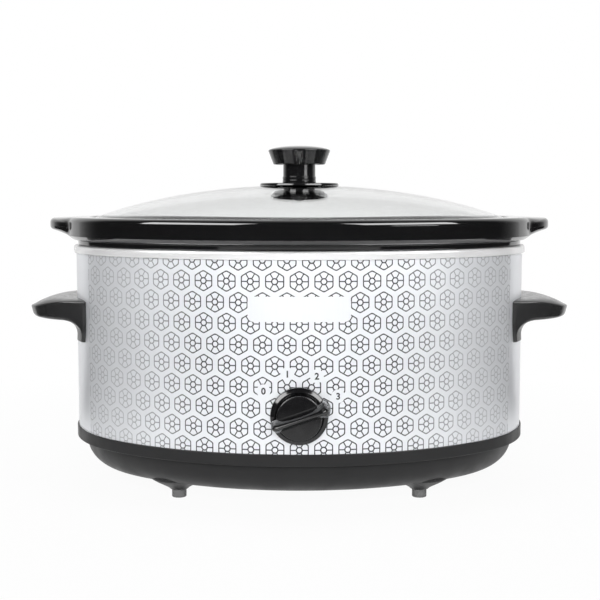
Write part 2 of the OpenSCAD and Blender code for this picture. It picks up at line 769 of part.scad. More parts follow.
// A side vector carried along the line without twisting
function carried(p, i, v) = let (t = tangent(p, i)) unit(v - (v * t) * t);
function sides(p, v, i = 0) = let (s = carried(p, i, v)) i == len(p) - 1 ? [s] : concat([s], sides(p, s, i + 1));
module tube(p, radius, n = 8) {
  v = sides(p, [0.6, 0.3, 0.74]);
  points = [for (i = [0:len(p) - 1], k = [0:n - 1]) let (a = 360 * k / n)
    p[i] + radius * (cos(a) * v[i] + sin(a) * cross(tangent(p, i), v[i]))];
  last = (len(p) - 1) * n;
  polyhedron(points, concat(
    [[for (k = [0:n - 1]) k]],
    [for (i = [0:len(p) - 2], k = [0:n - 1]) [i * n + k, (i + 1) * n + k, (i + 1) * n + (k + 1) % n, i * n + (k + 1) % n]],
    [[for (k = [n - 1:-1:0]) last + k]]));
}

lead_radius = 1.2;
lead_gap = 0.15;
lead_straight = 5;
tab_end_z = control_height - switch_half_height - tab_drop;
tab_end_y = -half_depth - contact_z - tab_sheet / 2;
block_wire_z = base_clearance + base_wall + block_height / 2;
block_front = block_y - block_width / 2;
lead_height = bowl_top - 5;
terminal_y = behind_well(terminal_x, terminal_low, heater_face + 0.45)[1];
fuse_along = [cos(fuse_tilt), sin(fuse_tilt), 0];
fuse_near = fuse_middle + fuse_along * (fuse_length / 2 + fuse_wire + lead_gap);
fuse_far = fuse_middle - fuse_along * (fuse_length / 2 + fuse_wire + lead_gap);

// From the switch round the left side to the terminal block
module lead_live() {
  color("black") tube(smooth(concat(
    [[-contact_x, tab_end_y, tab_end_z - lead_gap], [-contact_x, tab_end_y, tab_end_z - lead_straight],
      [-contact_x - 3, tab_end_y + 8, lead_height + 4]],
    [for (a = [-100:-20:-220]) oval_point(-24, a, lead_height)],
    [[-60, block_y, lead_height - 2], [-28, block_front - 16.5, lead_height - 6], [-block_pitch - 2.5, block_front - 18.5, block_wire_z],
      [-block_pitch, block_front - lead_straight, block_wire_z], [-block_pitch, block_front + 4, block_wire_z]])), lead_radius);
}
// From the switch round the right side to the heater band's right terminal
module lead_heater() {
  color("firebrick") tube(smooth(concat(
    [[contact_x, tab_end_y, tab_end_z - lead_gap], [contact_x, tab_end_y, tab_end_z - lead_straight + 1],
      [contact_x + 5, tab_end_y + 3, tab_end_z - lead_straight - 3]],
    [for (a = [-70:20:70]) oval_point(-14, a, tab_end_z - lead_straight + 1)],
    [[terminal_x, terminal_y, terminal_low - 12], [terminal_x, terminal_y, terminal_low - lead_gap]])), lead_radius);
}
// From the fuse's far end, down behind the heat shield and over the terminal block
module lead_neutral() {
  color("royalblue") tube(smooth([fuse_far, fuse_far - fuse_along * lead_straight,
    [fuse_x - 20, half_depth - 19, well_floor + 12.8], [fuse_x - 19, half_depth - 19, shield_z + 11.8],
    [fuse_x - 14, half_depth - 24, shield_z - 1.2], [-34, block_y + 24, shield_z - 5.2], [-8, block_y + 12, shield_z - 5.2],
    [14, block_y, shield_z - 6.2], [17, block_y - 14, shield_z - 11.2], [11, block_front - 14.5, block_wire_z + 1],
    [block_pitch, block_front - lead_straight, block_wire_z], [block_pitch, block_front + 4, block_wire_z]]), lead_radius);
}
// A short loop from the fuse's near end to the heater band's left terminal
fuse_loop = [[4.5, 0.24], [4.2, 0.55], [1.2, 0.76]];
module lead_fuse() {
  color("royalblue") tube(smooth(concat([fuse_near, fuse_near + fuse_along * 3.5],
    [for (p = fuse_loop) behind_well(p[0] - terminal_x, fuse_z + p[1] * (terminal_low - fuse_z), fuse_gap + fuse_radius)],
    [[-terminal_x, terminal_y, terminal_low - lead_gap - lead_radius * 0.6]])), lead_radius);
}

// Crock --------------------------------------------------------------

seat_from = -2;
module crock() {
  corner = 11;
  corner_z = crock_under + corner;
  corner_x = crock_offset(corner_z) - corner;
  inner_corner = 16;
  inner_z = crock_inside + inner_corner;
  inner_x = crock_offset(inner_z) - crock_wall - inner_corner;
  ledge_x = rim_inner - ledge_width;
  top_r = 4;
  color("#101010") {
    pan(concat(
      [[core_offset, crock_under + 1.5], [corner_x - 8, crock_under + 1.5], [corner_x - 7, crock_under]],
      arc(corner_x, corner_z, corner, -90, 0),
      [[crock_offset(body_height - 4), body_height - 4], [crock_offset(body_height - 4) + 1, body_height - 1],
        [crock_offset(body_height - 4) + 2.5, body_height], [seat_from, body_height], [seat_from + 2, body_height + 4]],
      [[crock_proud - 2.5, body_height + 5.8]], arc(crock_proud - 2.5, body_height + 8.3, 2.5, -60, 0, 3),
      arc(crock_proud - top_r, crock_top - top_r, top_r, 0, 90),
      arc(rim_inner + 2.5, crock_top - 2.5, 2.5, 90, 180, 4),
      [[rim_inner, ledge], [ledge_x + 1.5, ledge], [ledge_x, ledge - 1.5]],
      backwards(arc(inner_x, inner_z, inner_corner, -90, 0)),
      [[core_offset, crock_inside]]), crock_under + 1.5, crock_inside);
    for (turn = [0, 180]) rotate([0, 0, turn]) lug();
  }
}
// A lifting lug on the end of the crock's rim: [distance along X, height] from the side
lug_round = 44;
lug_low = 8.4;
module lug() {
  tip = half_length + lug_reach;
  root = half_length + crock_proud;
  low = body_height + lug_low;
  intersection() {
    translate([tip - lug_round, 0, 0]) cylinder(r = lug_round, h = crock_top);
    translate([0, lug_round, 0]) rotate([90, 0, 0]) linear_extrude(2 * lug_round) polygon(concat(
      [[root - 5, low - 1], [root, low - 1]], arc(tip - 3.4, low + 7.4, 3.4, -65, 0, 4),
      arc(tip - 3.4, crock_top - 4.6, 3.4, 0, 90, 4), [[root + 1, crock_top - 1.2], [root - 5, crock_top - 0.3]]));
  }
}

// Lid ----------------------------------------------------------------

// The dome is the cap of an ellipsoid that reaches dome_share of its half axes at the lid's edge
dome_share = 0.72;
edge_top = crock_top - 1;
dome_height = (glass_top - edge_top) / (1 - sqrt(1 - dome_share ^ 2));
dome_length = lid_a / dome_share;
dome_width = lid_b / dome_share;
lid_rim = 7;
// Height of the glass at a distance from the middle, measured along the lid's length
function dome(r) = glass_top - dome_height * (1 - sqrt(1 - (r / dome_length) ^ 2));
module ellipsoid(inset) {
  translate([0, 0, glass_top - dome_height])
    scale([dome_length - inset, dome_width - inset, dome_height - inset]) sphere(r = 1, $fn = 240);
}
module lid_glass() {
  color("#dfe6e6") difference() {
    intersection() {
      oval_plate(lid_offset, ledge, glass_top + 1, $fn = 240);
      ellipsoid(0);
    }
    intersection() {
      oval_plate(lid_offset - lid_rim, ledge - 1, glass_top, $fn = 240);
      ellipsoid(glass);
    }
    translate([0, 0, glass_top - 20]) cylinder(r = lid_screw_radius + 1.2, h = 40);
  }
}

gasket_radius = 15;
gasket_thickness = 0.6;
lid_screw_radius = 2;
disc_bottom = glass_top + gasket_thickness;
stem_bottom = glass_top + 1.8;
cap_bottom = stem_bottom + stem_height;
cap_top = cap_bottom + cap_height;
washer_radius = 22;
washer_height = 5;
washer_top = glass_top - glass - 0.3;
lid_screw_head = 6;
lid_screw_dome = 4.4;
screw_seat = washer_top - washer_height / 2;

module lid_gasket() {
  color("#3a3a3a") translate([0, 0, glass_top]) difference() {
    cylinder(r = gasket_radius, h = gasket_thickness);
    translate([0, 0, -1]) cylinder(r = lid_screw_radius + 1.2, h = 4);
  }
}

module knob_disc() {
  color("#181818") rotate_extrude() polygon([[lid_screw_radius + 0.3, disc_bottom], [gasket_radius + seat_gap, disc_bottom],
    [gasket_radius + seat_gap, glass_top], [disc_radius - 0.6, dome(disc_radius) + seat_gap],
    [disc_radius, dome(disc_radius) + 0.5], [disc_radius - 0.4, stem_bottom - 1], [disc_radius - 1.6, stem_bottom - 0.4],
    [stem_radius + 1, stem_bottom], [lid_screw_radius + 0.3, stem_bottom]]);
}

module lid_knob() {
  cap_low = cap_radius - 4.1;
  color("#181818") rotate_extrude() polygon(concat(
    [[lid_screw_radius + screw_gap, stem_bottom], [5, stem_bottom], [5, stem_bottom + 4], [stem_radius - 2.5, stem_bottom + 4],
      [stem_radius - 2.5, stem_bottom], [stem_radius + 0.4, stem_bottom], [stem_radius + 0.4, stem_bottom + 4.5],
      [stem_radius, stem_bottom + 5], [stem_radius, cap_bottom + 0.6], [cap_low - 1, cap_bottom + 0.6], [cap_low - 0.6, cap_bottom],
      [cap_low, cap_bottom + 0.4], [cap_radius - 0.3, cap_top - 3.6], [cap_radius, cap_top - 3.2]],
    [for (i = [0:5]) let (a = 15 + 15 * i) [(cap_radius - 0.6) * cos(a) / cos(15), cap_top - 3.2 + 3.2 * (sin(a) - sin(15)) / (1 - sin(15))]],
    [[0, cap_bottom + 4], [lid_screw_radius + screw_gap, cap_bottom + 4]]));
}

module lid_washer() {
  head_room = lid_screw_head + 0.6;
  color("#202020") rotate_extrude() polygon([[lid_screw_radius + 0.3, washer_top], [stem_radius, washer_top],
    [stem_radius + 0.5, washer_top - 1.4], [washer_radius - 0.8, washer_top - washer_height + 0.8],
    [washer_radius, washer_top - washer_height], [washer_radius - 1.6, washer_top - washer_height],
    [stem_radius, washer_top - washer_height + 2], [head_room, washer_top - washer_height + 2],
    [head_room, screw_seat], [lid_screw_radius + 0.3, screw_seat]]);
}

// The screw through washer, glass, disc and knob, with a domed head under the washer
module lid_screw() {
  color("silver") translate([0, 0, screw_seat]) {
    cylinder(r = lid_screw_radius, h = cap_bottom + 3 - screw_seat);
    rotate_extrude() polygon(concat([[0, -lid_screw_dome]],
      ellipse_arc(0, -0.6, lid_screw_head, lid_screw_dome - 0.6, -80, 0), [[lid_screw_head, 0], [0, 0]]));
  }
}

// Each node in its place ----------------------------------------------

module placed() {
  translate([0, oval_y, 0]) children();
}

placed() outer_wall();
placed() rim_ring();
placed() heating_well();
placed() heater_band();
placed() heater_clamp();
placed() clamp_bolt();
placed() heater_terminals();
placed() thermal_fuse();
placed() fuse_clip();
placed() base_shell();
placed() foot(-1, -1);  // foot_front_left
placed() foot(1, -1);  // foot_front_right
placed() foot(-1, 1);  // foot_rear_left
placed() foot(1, 1);  // foot_rear_right
placed() heat_shield();
placed() mirror([1, 0, 0]) well_bracket();  // well_bracket_left
placed() well_bracket();  // well_bracket_right
placed() base_screws();
placed() mirror([1, 0, 0]) handle();  // handle_left
placed() handle();  // handle_right
placed() handle_screws();
placed() switch_body();
placed() switch_cover();
placed() switch_screws();
placed() switch_contacts();
placed() switch_rotor();
placed() switch_shaft();
placed() control_knob();
placed() knob_spring();
placed() terminal_block();
placed() terminal_screws();
placed() cord_gland();
placed() lead_live();
placed() lead_heater();
placed() lead_neutral();
placed() lead_fuse();
placed() crock();
placed() lid_glass();
placed() lid_knob();
placed() knob_disc();
placed() lid_gasket();
placed() lid_washer();
placed() lid_screw();
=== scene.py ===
import math
import bmesh
import bpy
import numpy as np
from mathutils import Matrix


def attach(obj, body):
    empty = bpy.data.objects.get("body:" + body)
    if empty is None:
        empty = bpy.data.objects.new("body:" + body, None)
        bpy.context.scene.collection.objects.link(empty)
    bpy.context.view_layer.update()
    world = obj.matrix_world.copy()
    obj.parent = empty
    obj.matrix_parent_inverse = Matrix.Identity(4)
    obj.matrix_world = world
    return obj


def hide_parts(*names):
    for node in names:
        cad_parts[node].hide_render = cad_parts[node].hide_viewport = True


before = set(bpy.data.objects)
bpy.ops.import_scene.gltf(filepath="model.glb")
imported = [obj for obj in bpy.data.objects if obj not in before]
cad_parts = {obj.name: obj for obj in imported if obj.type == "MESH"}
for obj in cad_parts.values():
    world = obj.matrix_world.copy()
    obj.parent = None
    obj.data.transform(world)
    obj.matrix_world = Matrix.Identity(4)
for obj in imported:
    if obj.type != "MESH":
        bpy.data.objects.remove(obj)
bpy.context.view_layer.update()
scene = bpy.context.scene
print("frame loaded, nodes:", len(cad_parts))

mm = 0.001  # shapes below are worked out in millimetres

# the plan of four tangent arcs that the wall, base, crock and lid follow
oval = dict(halfLength=179.0, halfDepth=138.0, jointAngle=50.5, centreY=7.25)
jointAngle = math.radians(oval["jointAngle"])
betweenCentres = (oval["halfLength"] - oval["halfDepth"]) / (math.cos(jointAngle) + math.sin(jointAngle) - 1)
endX = betweenCentres * math.cos(jointAngle)
sideY = betweenCentres * math.sin(jointAngle)
endRadius = oval["halfLength"] - endX
sideRadius = endRadius + betweenCentres


def ovalFrame(columns):
    # a point is its arc's centre plus the arc's radius times (cos a, sin a), at even steps of the
    # length along the outline, from the middle of the rear round by the left side
    joint = oval["jointAngle"]
    breaks = np.radians([90, 180 - joint, 180 + joint, 360 - joint, 360 + joint, 450])
    radii = np.array([sideRadius, endRadius, sideRadius, endRadius, sideRadius])
    centres = np.array([[0, -sideY], [-endX, 0], [0, sideY], [endX, 0], [0, -sideY]])
    lengths = np.concatenate([[0], np.cumsum(radii * np.diff(breaks))])
    along = np.linspace(0, lengths[-1], columns, endpoint=False)
    arc = np.searchsorted(lengths, along, side="right") - 1
    angle = np.interp(along, lengths, breaks)
    normal = np.stack([np.cos(angle), np.sin(angle)], -1)
    point = centres[arc] + radii[arc, None] * normal
    return point, normal, along, lengths[-1]


def unit(vectors):
    # each row divided by its length
    return vectors / np.maximum(np.linalg.norm(vectors, axis=1, keepdims=True), 1e-9)


def rounded(corners, steps=6, hold=0.35):
    # each corner (x, z, radius) becomes an arc that touches both of its sides, with a held point
    # just outside each end of the arc so that the flats stay flat when shaded smooth, and a corner
    # with no radius stays one point
    corner = np.array(corners, float)
    point, radius = corner[:, :2], corner[:, 2:]
    back, ahead = unit(np.roll(point, 1, 0) - point), unit(np.roll(point, -1, 0) - point)
    half = np.arccos(np.clip((back * ahead).sum(1, keepdims=True), -0.9999, 0.9999)) / 2
    centre = point + unit(back + ahead) * radius / np.sin(half)
    reach = radius / np.tan(half)
    start, end = point + back * reach - centre, point + ahead * reach - centre
    turn = (np.pi - 2 * half)[:, None]
    t = np.linspace(0, 1, steps + 1)[None, :, None]
    blend = np.sin((1 - t) * turn) * start[:, None] + np.sin(t * turn) * end[:, None]
    arc = centre[:, None] + blend / np.sin(turn)
    held = reach + hold * (radius > 0)
    before, after = point + back * held, point + ahead * held
    line = np.concatenate([before[:, None], arc, after[:, None]], 1).reshape(-1, 2)
    return line[np.linalg.norm(line - np.roll(line, 1, 0), axis=1) > 1e-9]


def refined(profile, longest, closed=False):
    # extra points along each side, so that none is longer than the given length
    points = np.concatenate([profile, profile[:1]]) if closed else profile
    sides = np.linalg.norm(np.diff(points, axis=0), axis=1)
    points, sides = points[np.concatenate([[True], sides > 1e-6])], sides[sides > 1e-6]
    count = np.maximum(np.ceil(sides / longest), 1).astype(int)
    side = np.repeat(np.arange(len(count)), count)
    share = (np.arange(count.sum()) - np.repeat(np.cumsum(count) - count, count)) / np.repeat(count, count)
    result = points[side] + share[:, None] * (points[side + 1] - points[side])
    return result if closed else np.concatenate([result, points[-1:]])


def evened(line, count):
    # the same line with a given number of points at even steps of its length
    length = np.concatenate([[0], np.cumsum(np.linalg.norm(np.diff(line, axis=0), axis=1))])
    at = np.linspace(0, length[-1], count)
    return np.stack([np.interp(at, length, line[:, 0]), np.interp(at, length, line[:, 1])], -1)


def arcOf(first, last, steps):
    # cosines and sines of an arc's angles, given in degrees
    angle = np.radians(np.linspace(first, last, steps))
    return np.cos(angle), np.sin(angle)


def pair(a, b):
    # two arrays side by side, as points
    return np.stack(np.broadcast_arrays(a, b), -1)


def chained(*parts):
    # points and profiles of (offset, height) one after another, as one profile
    return np.concatenate([np.reshape(part, (-1, 2)) for part in parts])


def moved(grid, x=0.0, y=0.0):
    # a shape worked out about the oval's middle, set at a place from that middle
    return grid + [x, y + oval["centreY"], 0]


def around(point, normal, *parts):
    # parts of a profile of (offset, height), each for every column or for all of them at once:
    # outline point plus offset times normal
    rows = np.concatenate([np.broadcast_to(part, (len(point), *part.shape[-2:])) for part in parts], 1)
    return moved(np.concatenate([point[:, None] + rows[..., :1] * normal[:, None], rows[..., 1:]], -1))


def swept(profile, columns):
    # one profile of (offset, height) carried round the oval
    return around(*ovalFrame(columns)[:2], profile)


def closedAtCore(grid):
    # rows that lead to the grid's first row from a pole over the middle of the oval, and back from its last
    t = np.linspace(0, 1, 6, endpoint=False)[None, :, None]
    leads = []
    for edge in (grid[:, :1], grid[:, -1:]):
        pole = moved(edge * [0, 0, 1])
        leads.append(pole + t * (edge - pole))
    return np.concatenate([leads[0], grid, leads[1][:, ::-1]], 1)


def turned(profile, steps):
    # a profile of (radius, height) turned about the height's axis
    angle = np.linspace(0, 2 * np.pi, steps, endpoint=False)[:, None]
    radius, height = profile[None, :, 0], profile[None, :, 1]
    return np.stack([radius * np.cos(angle), radius * np.sin(angle), height + 0 * angle], -1)


def pointsOf(mesh):
    points = np.empty(len(mesh.vertices) * 3, np.float32)
    mesh.vertices.foreach_get("co", points)
    return points.reshape(-1, 3).astype(float)


def setPoints(mesh, points):
    mesh.vertices.foreach_set("co", points.reshape(-1).astype(np.float32))


def shadedSmooth(mesh, sharp):
    mesh.shade_smooth()
    mesh.set_sharp_from_angle(angle=math.radians(sharp))
    return mesh


def gridMesh(name, grids, closeRows=False, capped=False, sharp=38, uv=None):
    # every grid (column, row) closes round its columns, and its poles close when doubles merge;
    # a capped one ends at its first and last column, which get a face each
    bm = bmesh.new()
    for points in grids:
        columns, rows = points.shape[:2]
        i, j = np.meshgrid(np.arange(columns - capped), np.arange(rows - 1 + closeRows), indexing="ij")
        nextI, nextJ = (i + 1) % columns, (j + 1) % rows
        quads = np.stack([i * rows + j, nextI * rows + j, nextI * rows + nextJ, i * rows + nextJ], -1).reshape(-1, 4)
        mesh = bpy.data.meshes.new(name)
        mesh.from_pydata((points * mm).reshape(-1, 3).tolist(), [], quads.tolist())
        if uv is not None:
            u, v = uv
            cornerU = np.stack([u[i], u[i + 1], u[i + 1], u[i]], -1)
            cornerV = np.stack([v[j], v[j], v[j + 1], v[j + 1]], -1)
            layer = mesh.uv_layers.new(name="surface")
            layer.data.foreach_set("uv", pair(cornerU, cornerV).reshape(-1).astype(np.float32))
        bm.from_mesh(mesh)
        bpy.data.meshes.remove(mesh)
    bmesh.ops.remove_doubles(bm, verts=bm.verts, dist=2e-7)
    bmesh.ops.dissolve_degenerate(bm, edges=bm.edges, dist=1e-7)
    if capped:
        caps = bmesh.ops.holes_fill(bm, edges=[edge for edge in bm.edges if edge.is_boundary])["faces"]
        bmesh.ops.triangulate(bm, faces=caps)
        bmesh.ops.recalc_face_normals(bm, faces=bm.faces)
    if bm.calc_volume(signed=True) < 0:
        bmesh.ops.reverse_faces(bm, faces=bm.faces)
    mesh = bpy.data.meshes.new(name)
    bm.to_mesh(mesh)
    bm.free()
    return shadedSmooth(mesh, sharp)


def added(name, data):
    piece = bpy.data.objects.new(name, data)
    scene.collection.objects.link(piece)
    return piece


def place(name, mesh, body, material, nodes=()):
    piece = added(name, mesh)
    mesh.materials.clear()
    mesh.materials.append(material)
    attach(piece, body)
    if nodes:
        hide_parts(*nodes)
    return piece


def shaped(name, grid, body, material, slot, nodes, **options):
    return place(name, gridMesh(name, [grid], **options), body, material, nodes)


def rough(name, grids, **options):
    return added(name, gridMesh(name, grids, **options))


def evaluated(piece):
    return bpy.data.meshes.new_from_object(piece.evaluated_get(bpy.context.evaluated_depsgraph_get()))


def carved(piece, operation, helper, solver="EXACT"):
    # the piece cut by the helper or joined with it, kept as a plain mesh
    modifier = piece.modifiers.new("boolean", "BOOLEAN")
    modifier.operation, modifier.solver, modifier.object = operation, solver, helper
    result = evaluated(piece)
    piece.modifiers.remove(modifier)
    bpy.data.objects.remove(helper)
    piece.data = result
    return piece


def finished(piece, name, sharp=35):
    mesh = piece.data
    mesh.name = name
    bpy.data.objects.remove(piece)
    return shadedSmooth(mesh, sharp)


def emptyTree(owner):
    owner.use_nodes = True
    owner.node_tree.nodes.clear()
    return owner.node_tree


def link(tree, value, socket):
    if isinstance(value, (int, float, tuple)):
        socket.default_value = value
    else:
        tree.links.new(value, socket)


def node(tree, kind, inputs=(), output=0, **settings):
    # a node with its inputs set or linked, given as its output of that name or number
    made = tree.nodes.new("ShaderNode" + kind)
    for key, value in settings.items():
        setattr(made, key, value)
    for key, value in dict(inputs).items():
        link(tree, value, made.inputs[key])
    return made.outputs[output]


def shown(tree, surface, kind="Material"):
    link(tree, surface, tree.nodes.new("ShaderNodeOutput" + kind).inputs["Surface"])


def maths(tree, operation, *values):
    return node(tree, "Math", enumerate(values), operation=operation)


def mixed(tree, factor, a, b, kind="RGBA"):
    first, second, result = {"RGBA": (6, 7, 2), "FLOAT": (2, 3, 0)}[kind]
    return node(tree, "Mix", {0: factor, first: a, second: b}, result, data_type=kind)


def noise(tree, scale, detail, stretch=None):
    at = node(tree, "TexCoord", output="Object")
    if stretch:
        at = node(tree, "Mapping", {"Vector": at, "Scale": stretch})
    return node(tree, "TexNoise", {"Vector": at, "Scale": scale, "Detail": detail}, "Fac")


def ranged(tree, value, low, high, fromLow=0.3, fromHigh=0.7, ease="LINEAR"):
    limits = {"Value": value, "From Min": fromLow, "From Max": fromHigh, "To Min": low, "To Max": high}
    return node(tree, "MapRange", limits, "Result", interpolation_type=ease)


def newMaterial(name, color, metallic=0.0, roughness=0.5, **sockets):
    material = bpy.data.materials.new(name)
    material.use_nodes = True
    shader = material.node_tree.nodes["Principled BSDF"]
    sockets.update(Base_Color=(*color, 1), Metallic=metallic, Roughness=roughness)
    for key, value in sockets.items():
        shader.inputs[key.replace("_", " ")].default_value = value
    return material, material.node_tree, shader


def finish(name, color, metallic=0.0, roughness=0.5, sheen=None, grain=None, **sockets):
    # sheen is (low, high, scale, detail, stretch) of the roughness over the surface, and grain is
    # (strength, depth in metres, scale, detail, stretch) of its bumps
    material, tree, shader = newMaterial(name, color, metallic, roughness, **sockets)
    if sheen:
        low, high, *pattern = sheen
        link(tree, ranged(tree, noise(tree, *pattern), low, high), shader.inputs["Roughness"])
    if grain:
        strength, depth, *pattern = grain
        bumps = {"Strength": strength, "Distance": depth, "Height": noise(tree, *pattern)}
        link(tree, node(tree, "Bump", bumps), shader.inputs["Normal"])
    return material


studio = dict(
    eye=(0.0, -0.95375, 0.2292), pitch=5.09, lens=70.98, shiftX=0.0012,
    floorWhite=0.9, floorSize=6.0, ambient=0.13, shadowShare=0.05, clearFrom=0.25, clearTo=0.6,
    aim=(0, 0, 0.12),
    keyBox=dict(size=(1.2, 0.9), at=(0.0, -2.3, 0.8), power=56.0),
    topBox=dict(size=(1.3, 0.9), at=(0.0, 0.0, 1.5), power=6.0),
    backBox=dict(size=(1.4, 0.8), at=(0.0, 2.3, 1.1), power=17.0),
    sideCards=dict(size=(1.34, 0.85), at=(1.1, -0.98, 1.1), glow=11.0),
    strip=dict(size=(0.5, 0.05), at=(1.03, -0.95, 0.282), glow=8.5),
    # angles run round the object from +x, so its front is at -90
    darkCard=dict(radius=2.8, low=0.02, high=14.0, first=-212, last=32, tone=0.05,
                 fade=30, slices=12, endTone=0.8),
    darkFloor=dict(height=0.003, near=0.42, open=34, frontNear=0.5, frontFar=0.86),
)
camera = added("camera", bpy.data.cameras.new("camera"))
camera.data.sensor_width = 36
camera.data.lens = studio["lens"]
camera.data.shift_x = studio["shiftX"]
camera.data.clip_start = 0.01
camera.location = studio["eye"]
camera.rotation_euler = (math.radians(90 - studio["pitch"]), 0, 0)
scene.camera = camera
scene.view_settings.view_transform = "Standard"


def seenDirectly(tree):
    # one for rays from the camera, off a mirror or through the glass, and nought for light on its way
    rays = tree.nodes.new("ShaderNodeLightPath").outputs
    direct = maths(tree, "MAXIMUM", rays["Is Camera Ray"], rays["Is Glossy Ray"])
    return maths(tree, "MAXIMUM", direct, rays["Is Transmission Ray"])


def emitter(tree, strength, color=(1, 1, 1, 1), kind="Emission"):
    return node(tree, kind, {"Color": color, "Strength": strength})


world = bpy.data.worlds.new("studio")
scene.world = world
tree = emptyTree(world)
brightness = ranged(tree, seenDirectly(tree), studio["ambient"], 1.0, 0.0, 1.0)
shown(tree, emitter(tree, brightness, kind="Background"), "World")

for name in ("keyBox", "topBox", "backBox"):
    box = studio[name]
    lamp = bpy.data.lights.new(name, "AREA")
    lamp.shape = "RECTANGLE"
    lamp.size, lamp.size_y = box["size"]
    lamp.energy = box["power"]
    lampObject = added(name, lamp)
    lampObject.location = box["at"]
    x, y, z = np.subtract(studio["aim"], box["at"])
    lampObject.rotation_euler = (math.atan2(math.hypot(x, y), -z), 0, math.atan2(y, x) - math.pi / 2)
    lampObject.visible_glossy = False
    lampObject.visible_transmission = name == "keyBox"


def flatPiece(name, points, faces, material):
    mesh = bpy.data.meshes.new(name)
    mesh.from_pydata(np.array(points).tolist(), [], np.array(faces).tolist())
    mesh.materials.append(material)
    piece = added(name, mesh)
    return piece


def reflected(name, points, faces, tone):
    # a card out of view that only reflections see
    material = bpy.data.materials.new(name)
    tree = emptyTree(material)
    shown(tree, emitter(tree, max(tone, 1), (min(tone, 1),) * 3 + (1,)))
    card = flatPiece(name, points, faces, material)
    for key in ("camera", "diffuse", "transmission", "shadow", "volume_scatter"):
        setattr(card, "visible_" + key, False)


def arcCard(name, first, last, edges, tone, steps=60):
    # a strip between two arcs round the object, each given as (radius, height)
    arc = np.stack([*arcOf(first, last, steps), np.ones(steps)], -1)
    i = np.arange(steps - 1)
    reflected(name, np.concatenate([arc * [radius, radius, height] for radius, height in edges]),
              np.stack([i, i + 1, i + steps + 1, i + steps], -1), tone)


def lightCard(at, size, glow):
    # an upright bright card that faces the object
    at = np.array(at, float)
    along = np.cross([0, 0, 1], at)
    along = along / np.linalg.norm(along) * size[0] / 2
    rise = np.cross(at, along)
    rise = rise / np.linalg.norm(rise) * size[1] / 2
    reflected("lightCard", [at - along - rise, at + along - rise, at + along + rise, at - along + rise],
              [(0, 1, 2, 3)], glow)


# a dark card stands round the front of the set, so that blacks stay black, and fades out at its two
# ends; more of it lies on the floor
card = studio["darkCard"]
upright = [(card["radius"], card["low"]), (card["radius"], card["high"])]
firstFull, lastFull = card["first"] + card["fade"], card["last"] - card["fade"]
arcCard("darkCard", firstFull, lastFull, upright, card["tone"])
step = card["fade"] / card["slices"]
for i in range(card["slices"]):
    tone = card["tone"] + (card["endTone"] - card["tone"]) * ((i + 0.5) / card["slices"]) ** 2
    arcCard("darkCard", firstFull - (i + 1) * step, firstFull - i * step, upright, tone)
    arcCard("darkCard", lastFull + i * step, lastFull + (i + 1) * step, upright, tone)
low = studio["darkFloor"]
for first, last, near, far in ((card["first"], -90 - low["open"], low["near"], card["radius"]),
                               (-90 + low["open"], card["last"], low["near"], card["radius"]),
                               (-90 - low["open"], -90 + low["open"], low["frontNear"], low["frontFar"])):
    arcCard("darkFloorCard", first, last, [(far, low["height"]), (near, low["height"])], card["tone"])

# light cards draw the long highlights, and a strip the one on the lid knob's stem
box, strip = studio["sideCards"], studio["strip"]
for side in (-1, 1):
    lightCard(np.array(box["at"]) * [side, 1, 1], box["size"], box["glow"])
lightCard(strip["at"], strip["size"], strip["glow"])

# the floor is white, and keeps a soft shadow close to the object
floorMaterial = bpy.data.materials.new("studioFloor")
tree = emptyTree(floorMaterial)
away = node(tree, "VectorMath", {0: node(tree, "TexCoord", output="Object")}, "Value", operation="LENGTH")
clear = ranged(tree, away, 1 - studio["shadowShare"], 1.0, studio["clearFrom"], studio["clearTo"])
white = node(tree, "BsdfDiffuse", {"Color": (studio["floorWhite"],) * 3 + (1,)})
share = maths(tree, "MULTIPLY", seenDirectly(tree), clear)
shown(tree, node(tree, "MixShader", {0: share, 1: white, 2: emitter(tree, 1.0)}))
floorCorners = np.array([(-1, -1, 0), (1, -1, 0), (1, 1, 0), (-1, 1, 0)]) * studio["floorSize"]
flatPiece("floor", floorCorners, [(0, 1, 2, 3)], floorMaterial)
print("camera, light and floor set")

# black glaze on stoneware has the slow waviness of a poured glaze, and the base's plastic a fine grain
glaze = finish("blackGlaze", (0.0045, 0.0045, 0.0048), 0, 0.06, sheen=(0.042, 0.096, 260, 3),
               grain=(0.12, 0.0006, 34, 2), Coat_Weight=0.25, Coat_Roughness=0.03)
glossPlastic = finish("blackGlossPlastic", (0.006, 0.006, 0.0065), 0, 0.1, sheen=(0.07, 0.14, 190, 4),
                      grain=(0.04, 0.0003, 60, 3))
handlePlastic = finish("blackHandlePlastic", (0.021, 0.021, 0.0215), 0, 0.2, sheen=(0.16, 0.27, 190, 4),
                       grain=(0.05, 0.0004, 60, 3), Specular_IOR_Level=0.4)
satinPlastic = finish("blackSatinPlastic", (0.0095, 0.0095, 0.01), 0, 0.42, sheen=(0.36, 0.5, 70, 3),
                      grain=(0.12, 0.00012, 1900, 2), Specular_IOR_Level=0.36)
footRubber = finish("footRubber", (0.135, 0.135, 0.135), 0, 0.62, grain=(0.2, 0.0001, 1500, 2))
softBlack = finish("blackRubber", (0.02, 0.02, 0.02), 0, 0.55, grain=(0.15, 0.0001, 1200, 2))
clearGlass = finish("temperedGlass", (0.985, 0.995, 0.992), 0, 0, Transmission_Weight=1.0, IOR=1.5)

